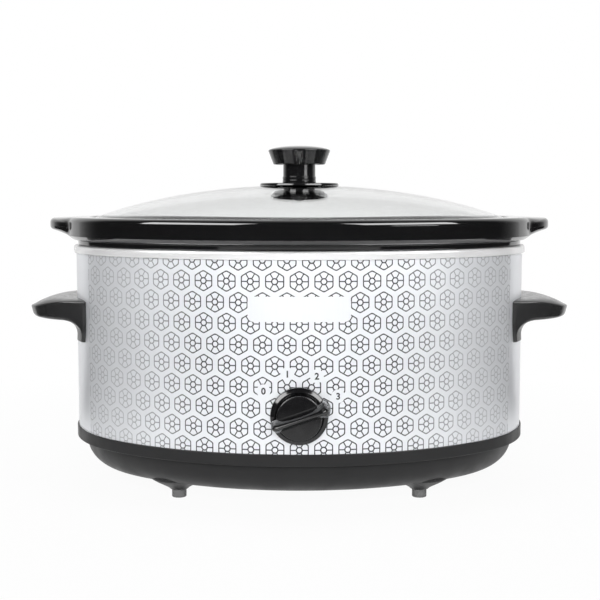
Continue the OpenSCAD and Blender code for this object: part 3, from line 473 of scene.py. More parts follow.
# sheet metal is streaked along the way it was rolled or pressed, and small metal parts are mottled
polishedRim = finish("polishedRim", (0.83, 0.83, 0.835), 0.3, 0.2, sheen=(0.12, 0.24, 900, 3, (1, 1, 8)))
wellMetal = finish("pressedAluminium", (0.78, 0.79, 0.8), 1, 0.36, sheen=(0.28, 0.48, 420, 4, (1, 1, 12)),
                   grain=(0.1, 0.0002, 300, 3, (1, 1, 10)))
zinc = finish("zincSteel", (0.62, 0.62, 0.61), 1, 0.34, sheen=(0.26, 0.5, 500, 4))
brass = finish("brass", (0.80, 0.62, 0.30), 1, 0.3, sheen=(0.24, 0.42, 600, 3))

# plain mouldings, cloth, ceramic and wire inside the base, and the ink of the numbers
phenolic = finish("creamMoulding", (0.60, 0.54, 0.42), sheen=(0.42, 0.6, 300, 3))
heaterCloth = finish("heaterWrap", (0.42, 0.33, 0.2), 0, 0.8, grain=(0.4, 0.0003, 900, 2))
fuseCeramic = finish("fuseCeramic", (0.84, 0.83, 0.79), 0, 0.35, sheen=(0.3, 0.45, 400, 2))
wireColors = dict(Black=(0.015, 0.015, 0.015), Red=(0.42, 0.03, 0.025), Blue=(0.03, 0.09, 0.42))
wireSkins = {name: finish("wire" + name, color, 0, 0.4, sheen=(0.34, 0.5, 500, 2))
             for name, color in wireColors.items()}
numberInk = finish("numberInk", (0.01, 0.01, 0.011), sheen=(0.42, 0.6, 900, 2))

# the wall's print, in millimetres: u runs round the wall from the middle of the front, and v up it
printLook = dict(
    motifs=58, size=6.35, corner=1.7, core=2.1, line=0.82, rise=49.2,
    steel=(0.825, 0.84, 0.868), ink=(0.03, 0.031, 0.034), metallic=0.52, roughness=0.4,
    brushed=(0.99, 1.008), uneven=(-0.012, 0.014), inkMetallic=0.1, inkRoughness=0.45,
    window=dict(v=149.2, halfWide=36.5, halfTall=8.9, corner=4.0),
    # painted reflection: how much fainter the ink is painted, and where; painted shade: how much darker the ground is
    # painted, and where
    paintedReflectionFrom=62, paintedReflectionTo=150, paintedReflection=0.62, paintedShadeFrom=90, paintedShadeTo=145, paintedShade=0.1,
    panelEnd=184, bareRoughness=0.3,
)
dial = dict(x=0.0, z=74.2, ring=30.5, angles=(26, 66, 106, 146), height=4.9, patch=4.9)
dialPlaces = [(dial["x"] + dial["ring"] * math.cos(angle), dial["z"] + dial["ring"] * math.sin(angle))
              for angle in np.radians(dial["angles"])]
perimeter = ovalFrame(8)[3]
pitch = perimeter / printLook["motifs"]
rowStep = pitch * math.sqrt(3) / 2
printedSteel, tree, shader = newMaterial("printedSteel", printLook["steel"])


def calc(operation, *values):
    return maths(tree, operation, *values)


def product(a, b):
    return calc("MULTIPLY", a, b)


def distance(x, y):
    return calc("SQRT", calc("ADD", product(x, x), product(y, y)))


def offBy(value, amount):
    return calc("ABSOLUTE", calc("SUBTRACT", value, amount))


surface = {0: node(tree, "UVMap", uv_map="surface")}
u = calc("MULTIPLY_ADD", node(tree, "SeparateXYZ", surface, "X"), 1 / mm, -perimeter / 2)
v = product(node(tree, "SeparateXYZ", surface, "Y"), 1 / mm)


def cell(shiftU, shiftV):
    # the place within one of the two interleaved grids of motifs, and how far its middle is
    x = calc("WRAP", calc("SUBTRACT", u, shiftU), pitch / 2, -pitch / 2)
    y = calc("WRAP", calc("SUBTRACT", v, shiftV), rowStep, -rowStep)
    return x, y, distance(x, y)


# a rounded hexagon round each middle, split by its spokes into six cells round a small hexagon: three
# distances go from the axes through the flats, and three across the spokes
x1, y1, away1 = cell(0.0, printLook["rise"])
x2, y2, away2 = cell(pitch / 2, printLook["rise"] + rowStep)
nearer = calc("GREATER_THAN", away1, away2)
x, y = (calc("ABSOLUTE", mixed(tree, nearer, a, b, "FLOAT")) for a, b in ((x1, x2), (y1, y2)))
half, slant = 0.5, 0.866
flatA = calc("MULTIPLY_ADD", x, half, product(y, slant))
flatB = calc("ABSOLUTE", calc("MULTIPLY_ADD", x, half, product(y, -slant)))
hexagon = calc("SMOOTH_MAX", calc("SMOOTH_MAX", x, flatA, printLook["corner"]), flatB, printLook["corner"])
spokeA = calc("ABSOLUTE", calc("MULTIPLY_ADD", x, slant, product(y, -half)))
spokeB = calc("MULTIPLY_ADD", x, slant, product(y, half))
spoke = calc("MINIMUM", calc("MINIMUM", y, spokeA), spokeB)
outline, coreLine, spokes = (calc("LESS_THAN", gap, printLook["line"] / 2) for gap in (
    offBy(hexagon, printLook["size"]), offBy(hexagon, printLook["core"]), spoke))
between = product(calc("GREATER_THAN", hexagon, printLook["core"]), calc("LESS_THAN", hexagon, printLook["size"]))
lines = calc("MAXIMUM", calc("MAXIMUM", outline, coreLine), product(spokes, between))

# bare places: a rounded window, and a round patch behind each number of the dial
window = printLook["window"]
overU, overV = (calc("MAXIMUM", calc("SUBTRACT", offBy(value, middle), reach - window["corner"]), 0.0)
                for value, middle, reach in ((u, 0.0, window["halfWide"]), (v, window["v"], window["halfTall"])))
lines = product(lines, calc("GREATER_THAN", distance(overU, overV), window["corner"]))
for atX, atZ in dialPlaces:
    patch = distance(calc("SUBTRACT", u, atX), calc("SUBTRACT", v, atZ))
    lines = product(lines, calc("GREATER_THAN", patch, dial["patch"]))

# front and rear are one printed panel each, and the ends between them are bare; towards a panel's two edges
# the ink is painted fainter, a painted reflection, and its silver ground darker, a painted shade
fromMiddle = calc("PINGPONG", calc("PINGPONG", u, perimeter / 2), perimeter / 4)
panel = calc("LESS_THAN", fromMiddle, printLook["panelEnd"])
paintedReflectionFade, paintedShadeScale = (ranged(tree, fromMiddle, 1.0, 1 - printLook[share], printLook[start], printLook[end], "SMOOTHSTEP")
                 for share, start, end in (("paintedReflection", "paintedReflectionFrom", "paintedReflectionTo"), ("paintedShade", "paintedShadeFrom", "paintedShadeTo")))
# the ink is painted fainter towards the panel's edges: a painted reflection
ink = product(product(lines, panel), paintedReflectionFade)
brushed = ranged(tree, noise(tree, 700, 3, (1, 1, 0.04)), 0.0, 1.0)
plain, bright = ((*np.minimum(np.array(printLook["steel"]) * by, 1).tolist(), 1) for by in printLook["brushed"])
# the brushed silver ground, painted darker towards the panel's edges: a painted shade
groundWithPaintedShade = {0: mixed(tree, brushed, plain, bright), "Scale": mixed(tree, panel, 1.0, paintedShadeScale, "FLOAT")}
steel = node(tree, "VectorMath", groundWithPaintedShade, operation="SCALE")
low, high = (printLook["roughness"] + by for by in printLook["uneven"])
satin = mixed(tree, panel, printLook["bareRoughness"], calc("MULTIPLY_ADD", brushed, high - low, low), "FLOAT")
for key, bare, inked, kind in (("Base Color", steel, (*printLook["ink"], 1), "RGBA"),
                               ("Metallic", printLook["metallic"], printLook["inkMetallic"], "FLOAT"),
                               ("Roughness", satin, printLook["inkRoughness"], "FLOAT")):
    link(tree, mixed(tree, ink, bare, inked, kind), shader.inputs[key])
print("finishes mixed")

wall = dict(sheet=0.8, foot=41.2, top=187.4, edge=0.2, columns=360)
sheetCorners = [(x, z, wall["edge"]) for x, z in (
    (-wall["sheet"], wall["foot"]), (0, wall["foot"]), (0, wall["top"]), (-wall["sheet"], wall["top"]))]
sheetProfile = refined(rounded(sheetCorners, 3, 0.3), 14, closed=True)
along = np.append(ovalFrame(wall["columns"])[2], perimeter) * mm
shaped("wallSheet", swept(sheetProfile, wall["columns"]), "housing", printedSteel, "wall", ["outer_wall"],
       closeRows=True, uv=(along, np.append(sheetProfile[:, 1], sheetProfile[0, 1]) * mm))

ring = dict(proud=2.0, top=189.7, drop=6.0, thick=1.5, seat=8.0, gap=0.1, crown=1.9)
ringFoot, ringUnder = ring["top"] - ring["drop"], ring["top"] - ring["thick"]
ringProfile = rounded([
    (ring["gap"], ringFoot, 0.3), (ring["proud"], ringFoot, 0.6), (ring["proud"], ring["top"], ring["crown"]),
    (-ring["seat"], ring["top"], 0.7), (-ring["seat"], ringUnder, 0.3), (ring["gap"], ringUnder, 0.1)], 7, 0.2)
shaped("rimRing", swept(refined(ringProfile, 3, closed=True), 300),
       "housing", polishedRim, "ring", ["rim_ring"], closeRows=True)

# pressed well: flange, tapered wall, round corner and floor, as one sheet
well = dict(sheet=0.8, inset=9.2, taper=17.0, floor=55.2, under=188.2, corner=13.0, bend=1.6)
core = -60  # how far inside the outline a shell's middle rows start


def wellOffset(z):
    # drawn in by the same amount for each step down
    return -well["inset"] - well["taper"] * (well["under"] - z) / (well["under"] - well["floor"])


flange, sheet, floorZ = well["under"], well["sheet"], well["floor"]
wellProfile = rounded([
    (core, floorZ, 0), (wellOffset(floorZ), floorZ, well["corner"]),
    (wellOffset(flange), flange - sheet, well["bend"]),
    (0, flange - sheet, 0.1), (0, flange, 0.1), (wellOffset(flange) - 0.2, flange, well["bend"] + 0.6),
    (wellOffset(floorZ) - sheet, floorZ + sheet, well["corner"] - sheet), (core, floorZ + sheet, 0)], 8, 0.4)
shaped("wellShell", closedAtCore(swept(refined(wellProfile, 9), 240)), "housing", wellMetal, "well", ["heating_well"])
print("wall, rim and well made")

# base: a moulded bowl under an upright skirt, with the wall's groove, foot bosses, screw wells and vents
base = dict(
    top=46.2, skirt=10.5, proud=1.2, groove=5.0, under=13.4, wall=3.0, step=6.5, seam=1.8,
    curve=23.0, slit=1.0, lip=2.6,
    footX=91.5, footY=75.0, footRadius=5.5, footTall=6.4, bossRadius=18.0,
    screwX=95.0, screwY=34.0, screwWell=4.6,
    vents=7, ventX=42.0, ventPitch=9.0, ventLong=15.0, ventWide=1.5,
)
top, under, thick, stepIn = base["top"], base["under"], base["wall"], -base["step"]
bowlTop, floorTop, seamIn = top - base["skirt"], under + thick, stepIn - base["seam"]
bowlX, bowlDrop = stepIn - base["curve"], bowlTop - under
quarterCos, quarterSin = arcOf(-90, 0, 19)


def bowl(inset):
    # a quarter of an ellipse, drawn in by part of the wall
    return pair(bowlX + (base["curve"] - inset) * quarterCos, bowlTop + (bowlDrop - inset) * quarterSin)


grooveFloor, grooveIn = top - base["groove"], 0.1 - base["slit"]
skirt = rounded([
    (stepIn, bowlTop - 1, 0), (stepIn, bowlTop, 0.4), (seamIn, bowlTop + 0.1, 0.2),
    (seamIn, bowlTop + 1.5, 0.2), (base["proud"], bowlTop + 1.6, 0.6), (base["proud"], top, 0.6),
    (0.1, top, 0.3), (0.1, grooveFloor, 0.2), (grooveIn, grooveFloor, 0.2), (grooveIn, top - 1, 0.1),
    (-base["lip"], top - 1, 0.3), (-base["lip"], bowlTop + thick + 1, 0.5),
    (stepIn - thick - 0.6, bowlTop + thick + 1, 0.5), (stepIn - thick, bowlTop + 1, 0)], 4, 0.2)
baseProfile = refined(chained((core, under), bowl(0)[:-1], skirt, bowl(thick)[::-1][1:], (core, floorTop)), 7)

# the bosses stop at the middle of the bowl's wall, so what would stand above it is cut off
bossTop = under + 5.5
bossProfile = rounded([
    (0, base["footTall"], 0), (base["footRadius"] + 1.2, base["footTall"], 0.5),
    (base["footRadius"] + 3, base["footTall"] + 1.6, 1.5), (base["bossRadius"], under - 0.3, 6),
    (base["bossRadius"] + 9, bossTop, 2), (0, bossTop, 0)], 5, 0.3)
bowlRoom = refined(chained((core, under + thick / 2), bowl(thick / 2), (stepIn - thick / 2, top), (core, top)), 12)
corners = [(i, j) for i in (-1, 1) for j in (-1, 1)]
bosses = rough("bosses", [moved(turned(bossProfile, 64), i * base["footX"], j * base["footY"]) for i, j in corners])
bosses = carved(bosses, "DIFFERENCE", rough("bowlRoom", [closedAtCore(swept(bowlRoom, 160))]))
basePiece = carved(rough("base", [closedAtCore(swept(baseProfile, 300))]), "UNION", bosses)


def capsulePrism(halfLong, halfWide, low, high, steps=10):
    # a long rounded slot: two half circles joined by straight sides, from one height to another
    ends = [pair(shift + halfWide * c, halfWide * s) for shift, (c, s) in (
        (halfLong, arcOf(-90, 90, steps)), (-halfLong, arcOf(90, 270, steps)))]
    edge = np.concatenate(ends)
    return np.stack([np.column_stack([plan, np.full(len(plan), z)]) for plan, z in (
        (edge * 0, low), (edge, low), (edge, high), (edge * 0, high))], 1)


below = under - 2
screwHole = np.array([[0, below], [base["screwWell"], below], [base["screwWell"], below + 4], [0, below + 4]])
vent = capsulePrism(base["ventLong"], base["ventWide"], below, floorTop + 2)
openings = [moved(vent, side * base["ventX"], (i - base["vents"] // 2) * base["ventPitch"])
            for side in (-1, 1) for i in range(base["vents"])]
openings += [moved(turned(screwHole, 40), i * base["screwX"], j * base["screwY"]) for i, j in corners]
baseMesh = finished(carved(basePiece, "DIFFERENCE", rough("openings", openings)), "baseMoulding")
place("baseMoulding", baseMesh, "housing", satinPlastic, ["base_shell"])
print("base made, faces:", len(baseMesh.polygons))

# rubber feet: a rounded pad with a dimple under it and a plug that sits in the boss
foot = dict(dimple=2.1, deep=0.9, plug=3.0, plugTop=10.0, padTop=base["footTall"] + 0.3)
padAndPlug = rounded([
    (foot["dimple"], foot["deep"], 0.2), (foot["dimple"], 0.0, 0.3),
    (base["footRadius"], 0.0, 0.8), (base["footRadius"], foot["padTop"], 0.2),
    (foot["plug"], foot["padTop"], 0.1), (foot["plug"], foot["plugTop"], 0.2)], 5, 0.2)
footProfile = chained((0, foot["deep"]), padAndPlug, (0, foot["plugTop"]))
for j, i in corners:
    words = ("foot", "front" if j < 0 else "rear", "left" if i < 0 else "right")
    shaped(words[0] + words[1].capitalize() + words[2].capitalize(),
           moved(turned(footProfile, 48), i * base["footX"], j * base["footY"]),
           "housing", footRubber, "foot_rubber", ["_".join(words)])

# crock: stoneware with a wide rounded rim and a lifting lug at each end
crock = dict(
    under=59.2, floor=9.0, wall=9.0, gap=2.5, corner=11.0, innerCorner=16.0, seat=189.7, top=211.7,
    proud=6.5, rim=18.7, rimRound=4.2, ledgeDrop=6.0, ledgeWide=8.8, columns=400,
    lugReach=22.0, lugRound=44.0, lugLow=8.4, lugSoft=2.6, lugAway=-4.0,
)


def crockOffset(z):
    # the well's offset less its sheet and the gap
    return wellOffset(z) - well["sheet"] - crock["gap"]


seat, rimTop, rimOut, rimRound = crock["seat"], crock["top"], crock["proud"], crock["rimRound"]
rimIn, ledge = rimOut - crock["rim"], rimTop - crock["ledgeDrop"]
under, inside = crock["under"], crock["under"] + crock["floor"]
footRing, neck = crockOffset(under) - crock["corner"], crockOffset(seat - 3)
lowerPart = rounded([
    (core, under + 1.5, 0), (footRing - 4.5, under + 1.5, 1.0), (footRing - 3.0, under, 1.2),
    (crockOffset(under), under, crock["corner"]), (neck + 0.2, seat - 3, 1.5), (neck + 2.5, seat, 0.9),
    (-1.6, seat, 0.9), (-1.2, seat + 4.0, 1.2), (rimOut - 4.2, seat + 4.4, 1.0), (rimOut, seat + 7.6, 0)], 6, 0.3)
upperPart = rounded([
    (rimOut, rimTop - 6, 0), (rimOut, rimTop, rimRound), (rimIn, rimTop, 2.6), (rimIn, ledge, 1.2),
    (rimIn - crock["ledgeWide"], ledge, 1.6), (crockOffset(inside) - crock["wall"], inside, crock["innerCorner"]),
    (core, inside, 0)], 8, 0.3)

# the rim's outer face, plain and where a lug stands out: under the lug, round its two edges and back to the top
faceSide = evened(chained(lowerPart[-1], (rimOut, seat + 8.5), (rimOut, rimTop - 4.6)), 26)
faceRound = rounded([(rimOut, rimTop - 6, 0), (rimOut, rimTop, rimRound), (rimOut - 6, rimTop, 0)], 8, 0)[1:-1]
facePlain = chained(faceSide, evened(chained(faceSide[-1], faceRound), 14)[1:])
tip = crock["lugReach"]
faceLug = evened(rounded([
    (rimOut, seat + 7.6, 0), (tip, seat + crock["lugLow"] + 4.2, 3.2), (tip, rimTop - 1.0, 3.4),
    (rimOut - rimRound, rimTop, 0)], 8, 0.3), len(facePlain))

# a lug reaches past the rim, along each normal, as far as the circle of its round plan, met in a soft curve
point, normal = ovalFrame(crock["columns"])[:2]
plan, plainX = point + rimOut * normal, np.abs(normal[:, 0])
gapX, gapY = np.abs(plan[:, 0]) - (oval["halfLength"] + tip - crock["lugRound"]), plan[:, 1]
project = gapX * plainX + gapY * normal[:, 1]
beyond = project ** 2 - (gapX ** 2 + gapY ** 2 - crock["lugRound"] ** 2)
away, soft = crock["lugAway"], crock["lugSoft"]
reach = np.where((beyond > 0) & (np.abs(plan[:, 0]) > endX), np.sqrt(np.maximum(beyond, 0)) - project, away)
reach = (reach + np.hypot(reach, soft) - math.hypot(away, soft) - away) / 2
share = np.clip(reach / reach.max(), 0, 1)[:, None, None]
rest = upperPart[upperPart[:, 0] < facePlain[-1, 0] - 0.3]
face = facePlain + share * (faceLug - facePlain)
crockGrid = around(point, normal, refined(lowerPart, 9)[:-1], face, refined(rest, 7))
crockPiece = shaped("crockBody", closedAtCore(crockGrid), "crock", glaze, "stoneware", ["crock"], sharp=50)
print("crock made, faces:", len(crockPiece.data.polygons))

# lid: a domed oval of tempered glass with a thick rounded edge
lid = dict(
    edge=-13.8, low=205.7, edgeTop=210.7, top=236.9, thick=4.0, rimWide=7.0, share=0.72,
    topRound=2.2, lowRound=1.2, hole=3.2, columns=320,
)
lidTop, lidEdge, lidInner, lidLow = lid["top"], lid["edge"], lid["edge"] - lid["rimWide"], lid["low"]
domeTall = (lidTop - lid["edgeTop"]) / (1 - math.sqrt(1 - lid["share"] ** 2))
domeLong, domeWide = ((oval[half] + lidEdge) / lid["share"] for half in ("halfLength", "halfDepth"))


def domeHeight(x, y, inset=0.0):
    # a cap of an ellipsoid: its middle height plus its half height times the root of one minus the squares
    inside = 1 - (x / (domeLong - inset)) ** 2 - (y / (domeWide - inset)) ** 2
    return lidTop - domeTall + (domeTall - inset) * np.sqrt(np.maximum(inside, 0))


point, normal = ovalFrame(lid["columns"])[:2]


def domeRows(offset, inset, count):
    # rows from the screw hole out to the edge: a round hole that turns into the oval on the way
    edge = (point + offset * normal)[:, None]
    t = np.linspace(0, 1, count)[None, :, None]
    flat = (1 - t) * lid["hole"] * edge / np.linalg.norm(edge, axis=2, keepdims=True) + t * edge
    return np.concatenate([flat, domeHeight(flat[..., :1], flat[..., 1:], inset)], -1)


topRound, lowRound = lid["topRound"], lid["lowRound"]
outerRows = domeRows(lidEdge - topRound, 0.0, 64)
innerRows = domeRows(lidInner - 1.2, lid["thick"], 60)[:, ::-1]
outerZ, innerZ = outerRows[:, -1:, 2], innerRows[:, :1, 2]
(topCos, topSin), (lowCos, lowSin) = arcOf(78, 0, 8), arcOf(0, -90, 6)
edgeGrid = around(
    point, normal, pair(lidEdge - topRound * (1 - topCos), outerZ - topRound * (1 - topSin) - 0.15),
    pair(lidEdge - lowRound * (1 - lowCos), lidLow + lowRound * (1 + lowSin)),
    chained((lidInner + 0.9, lidLow), (lidInner + 0.25, lidLow + 0.25), (lidInner, lidLow + 0.9)),
    pair(lidInner - np.array([0.1, 0.35, 0.8]), innerZ - np.array([1.6, 0.7, 0.2])))
shaped("lidGlass", np.concatenate([moved(outerRows), edgeGrid, moved(innerRows)], 1),
       "lid", clearGlass, "lid_glass", ["lid_glass"], closeRows=True, sharp=60)

# the lid's turned knob stands on a disc over the glass, with a flared washer and a domed screw under it
grip = dict(
    cap=25.0, capTall=15.1, crown=3.3, crownFrom=12, stem=13.0, stemTall=14.5,
    disc=32.0, discHole=15.1, discRise=0.6, rise=1.8, bolt=2.3,
    washer=22.0, washerTall=5.0, washerGap=0.3, screwHead=6.0, screw=2.0,
)
disc, stem, cap, washer, bolt = (grip[part] for part in ("disc", "stem", "cap", "washer", "bolt"))
discLow, stemLow = lidTop + grip["discRise"], lidTop + grip["rise"]
capLow = stemLow + grip["stemTall"]
capTop = capLow + grip["capTall"]


def turnedPiece(name, profile, steps, material, slot, node, **options):
    shaped(name, moved(turned(profile, steps)), "lid", material, slot, [node], **options)


discProfile = refined(rounded([
    (bolt, discLow, 0), (grip["discHole"], discLow, 0.1), (grip["discHole"], lidTop + 0.1, 0.1),
    (disc, domeHeight(disc, 0.0) + 0.25, 0.35), (disc - 0.8, stemLow - 0.3, 0.8),
    (stem + 1, stemLow, 0.4), (bolt, stemLow, 0)], 5, 0.3), 4)
turnedPiece("knobDisc", discProfile, 128, glossPlastic, "black_plastic", "knob_disc", closeRows=True)

crownCos, crownSin = arcOf(grip["crownFrom"], 90, 14)
crown = pair((cap - 0.7) * crownCos / crownCos[0],
             capTop - grip["crown"] * (1 - (crownSin - crownSin[0]) / (1 - crownSin[0])))
knobSide = rounded([
    (0, stemLow + 4, 0), (5, stemLow + 4, 0.2), (5, stemLow + 0.02, 0.2), (stem + 0.5, stemLow + 0.02, 0.5),
    (stem + 0.5, stemLow + 2.0, 0.4), (stem - 0.1, stemLow + 2.35, 0.3), (stem + 0.45, stemLow + 2.8, 0.35),
    (stem + 0.45, stemLow + 4.7, 0.4), (stem, stemLow + 5.2, 0.3), (stem, capLow + 0.5, 0.7),
    (cap - 5.0, capLow + 0.5, 0.5), (cap - 4.3, capLow, 0.5), (cap, capTop - 3.9, 0.7),
    (cap - 0.5, capTop - 3.2, 0.35), (cap - 1.6, capTop - 2.9, 0)], 5, 0.25)
knobProfile = refined(chained(knobSide, crown[1:]), 2.5)
turnedPiece("lidKnob", knobProfile, 144, glossPlastic, "black_plastic", "lid_knob", sharp=45)

washerTop = lidTop - lid["thick"] - grip["washerGap"]
washerLow = washerTop - grip["washerTall"]
washerProfile = refined(rounded([
    (bolt, washerTop, 0.1), (stem, washerTop, 0.3), (stem + 0.5, washerTop - 1.4, 1.2),
    (washer - 0.6, washerLow + 0.8, 0.5), (washer, washerLow, 0.3), (washer - 1.6, washerLow, 0.3),
    (stem, washerLow + 2, 0.8), (6.6, washerLow + 2, 0.2), (6.6, washerLow + 2.5, 0.1),
    (bolt, washerLow + 2.5, 0.1)], 5, 0.2), 3, closed=True)
turnedPiece("washer", washerProfile, 128, glossPlastic, "black_plastic", "lid_washer", closeRows=True)

head, shank, seatZ, shankTop = grip["screwHead"], grip["screw"], washerLow + 2.45, capLow + 3
headCos, headSin = arcOf(-90, 0, 12)
screwProfile = chained(pair(head * headCos, washerLow + 1.7 + 3.7 * headSin),
                       (head, seatZ), (shank, seatZ), (shank, shankTop), (0, shankTop))
turnedPiece("domedScrew", refined(screwProfile, 3), 64, zinc, "plated_steel", "lid_screw")
print("lid made")

# side handles: a shelf with a domed top that stands on two legs, hollow between ribs underneath
handle = dict(
    reach=38.0, round=58.0, span=0.9965, columns=150,
    top=146.9, fall=0.089, fallPower=1.2, fallFrom=182.0,
    ridge=148.7, ridgeFall=0.00099, ridgePower=2.6, ridgeFrom=185.0, roll=12,
    under=132.2, foot=115.7, draft=2.0, lowerRound=3.6, edge=0.9, back=0.1, footRound=1.2,
    midPlate=0.15, legPlate=2.8, legFillet=11.0, midFillet=7.0, legFrom=38.0, legTo=45.0, taper=0.05,
    rib=2.0, ribPitch=15.0, ribs=5, bayFrom=15.0, bayEnd=44.5, bayDraft=2.2, lip=9.0, skin=3.0,
)
planRound, shelfUnder = handle["round"], handle["under"]
planX = oval["halfLength"] + handle["reach"] - planRound
meetX = (endRadius ** 2 - planRound ** 2 + (planX - endX) ** 2) / (2 * (planX - endX)) + endX
meetAngle = math.atan2(math.sqrt(endRadius ** 2 - (meetX - endX) ** 2), meetX - planX)


def edgeHeight(x):
    # level near the wall, then falling towards the tip by a power of the distance
    return handle["top"] - handle["fall"] * np.maximum(x - handle["fallFrom"], 0) ** handle["fallPower"]


def blended(low, high, share):
    # from low to high in proportion to the share
    return low + (high - low) * share


def curved(start, control, end, count):
    # a quadratic curve through start and end that leans to the control point, for every column at once
    t = np.linspace(0, 1, count)[:, None]
    return (1 - t) ** 2 * start + 2 * t * (1 - t) * control + t ** 2 * end


def straight(start, end, count):
    # even steps from start to end, without the two themselves
    return blended(start, end, np.linspace(0, 1, count + 1, endpoint=False)[1:, None])


# every column is a loop of (distance from the wall, height), in the plane through the wall's normal;
# the values that shape it are one to a column
theta = meetAngle * handle["span"] * np.sin(np.linspace(-math.pi / 2, math.pi / 2, handle["columns"]))[:, None]
edgeX, edgeY = planX + planRound * np.cos(theta), planRound * np.sin(theta)
outer = np.hypot(edgeX - endX, edgeY) - endRadius
phi = np.arctan2(edgeY, edgeX - endX)
leg = np.clip((np.abs(endRadius * np.sin(phi)) - handle["legFrom"]) / (handle["legTo"] - handle["legFrom"]), 0, 1)
leg = leg ** 2 * (3 - 2 * leg)
plate = blended(handle["midPlate"], handle["legPlate"], leg)
fillet = blended(handle["midFillet"], handle["legFillet"], leg)
thick, filletTop = np.minimum(plate, outer), shelfUnder - fillet
footHeight = blended(filletTop, handle["foot"], leg)
bottomOut = np.maximum(outer - handle["draft"] * np.minimum(outer / 12, 1), thick)


def underPoint(w):
    # flat, then a hollow quarter round down to the plate on the wall
    inside = np.clip(plate + fillet - w, 0, fillet)
    return pair(w, filletTop + np.sqrt(np.maximum(fillet ** 2 - inside ** 2, 0)))


def topPoint(w):
    # the ridge's height in the middle of the plan, rolling down to the edge's height at its outline
    x, y = endX + (endRadius + w) * np.cos(phi), (endRadius + w) * np.sin(phi)
    ridge = handle["ridge"] - handle["ridgeFall"] * np.maximum(x - handle["ridgeFrom"], 0) ** handle["ridgePower"]
    share = np.minimum(np.hypot(x - planX, y) / planRound, 1)
    return pair(w, blended(edgeHeight(x), ridge, 1 - share ** handle["roll"]))


# the top, its edge, the drafted side and the lower round
edge, back, edgeZ = np.minimum(handle["edge"], outer * 0.4), handle["back"], edgeHeight(edgeX)
topRows = topPoint(back + (outer - edge - back) * np.linspace(0, 1, 18))
cornerAt, sideStart = underPoint(bottomOut), pair(outer, edgeZ - edge)
roundReach = handle["lowerRound"] * np.clip((bottomOut - thick) / 9, 0.02, 1)
sideSlope = sideStart - cornerAt
sideEnd = cornerAt + sideSlope * (roundReach / np.linalg.norm(sideSlope, axis=2))[..., None]
roundW = np.maximum(bottomOut - roundReach, thick)
roundEnd = underPoint(roundW)

# the fillet under the shelf, the plate down to the foot, and the back against the wall
filletW = np.minimum(roundW, plate + fillet)
startAngle = np.arccos(np.clip((filletW - plate - fillet) / fillet, -1, 0))
sweep = blended(startAngle, np.pi, np.linspace(0, 1, 10))
filletRows = pair(np.minimum(plate + fillet + fillet * np.cos(sweep), bottomOut), filletTop + fillet * np.sin(sweep))
soft = np.minimum(handle["footRound"], thick - back)
plateEnd, footEnd = pair(thick, footHeight + soft * leg), pair(thick - soft, footHeight)
backLow, backTop = pair(back, footHeight), pair(back, topRows[:, :1, 1])
loops = np.concatenate([
    topRows, curved(topRows[:, -1:], pair(outer - edge * 0.05, edgeZ), sideStart, 5)[:, 1:],
    straight(sideStart, sideEnd, 7), curved(sideEnd, cornerAt, roundEnd, 8),
    straight(roundEnd, underPoint(filletW), 5), filletRows, straight(pair(thick, filletTop), plateEnd, 6),
    curved(plateEnd, pair(thick, footHeight), footEnd, 4), backLow, straight(backLow, backTop, 6)], 1)
lean = np.clip((shelfUnder - loops[..., 1]) / (shelfUnder - handle["foot"]), 0, 1)
turn = phi * (1 - handle["taper"] * lean ** 2 * np.abs(phi) / np.abs(phi).max())
radius = endRadius + loops[..., 0]
handleGrid = moved(np.stack([endX + radius * np.cos(turn), radius * np.sin(turn), loops[..., 1]], -1))


def ribBay(low, high):
    # the room between two ribs: inner and outer arcs of the plan, narrowing a little towards the top
    y = np.linspace(low, high, 12)[:, None]
    outerRound = planRound - handle["lip"] + np.array([0, handle["bayDraft"]])
    innerX = endX + np.sqrt((endRadius + handle["bayFrom"]) ** 2 - y ** 2)
    x = np.concatenate([innerX, planX + np.sqrt(outerRound ** 2 - y ** 2), innerX + 1.0], 1)
    z = np.concatenate([np.full((len(y), 2), shelfUnder - 3), edgeHeight(x[:, 2:]) + 1 - handle["skin"]], 1)
    return moved(np.stack([x, np.broadcast_to(y, x.shape), z], -1))


ribs = (np.arange(handle["ribs"]) - handle["ribs"] // 2) * handle["ribPitch"]
starts = [-handle["bayEnd"], *ribs + handle["rib"] / 2]
ends = [*ribs - handle["rib"] / 2, handle["bayEnd"]]
for nodeName, name, mirror in (("handle_right", "handleRight", 1), ("handle_left", "handleLeft", -1)):
    flip = np.array([mirror, 1, 1])
    shell = rough(name, [handleGrid * flip], closeRows=True, capped=True)
    bays = rough("bays", [ribBay(low, high) * flip for low, high in zip(starts, ends)], closeRows=True, capped=True)
    mesh = finished(carved(shell, "DIFFERENCE", bays, "MANIFOLD"), name, 32)
    place(name, mesh, "housing", handlePlastic, [nodeName])
print("handles made")

# control knob: a coned skirt, a hub with a flat face, and a ridged grip whose end is the pointer
knob = dict(
    radius=20.5, back=1.2, front=21.0, skirtEdge=4.2, shoulder=6.6, groove=16.9, grooveDeep=0.9,
    hub=16.3, face=13.7, pointer=19.0, halfWide=4.5, flare=1.0, tail=-20.3, tip=23.1,
    tailFrom=15.6, tailLong=4.7, tipFrom=18.4, tailFall=(15.3, 5.0, 16), tipFall=(15.5, 6.0, 15), noseFrom=21.3,
    nose=(16.0, 10.5), foot=13.0, crest=0.14, gable=0.42, bore=3.05, boreDeep=14.4, hollow=18.3, hollowDeep=5.4,
)
grooveFloor = knob["shoulder"] - knob["grooveDeep"]
skirtProfile = rounded([
    (0, knob["back"], 0), (knob["radius"], knob["back"], 0.4), (knob["radius"], knob["skirtEdge"], 1.3),
    (knob["groove"] + 0.5, knob["shoulder"], 0.7), (knob["groove"] - 0.1, grooveFloor, 0.2),
    (knob["hub"], grooveFloor, 0.2), (knob["hub"] - 0.5, knob["face"], 0.8), (9, knob["face"], 2),
    (0, knob["face"], 0)], 6, 0.2)
knobBody = rough("knobBody", [turned(refined(skirtProfile, 2.5), 144)])

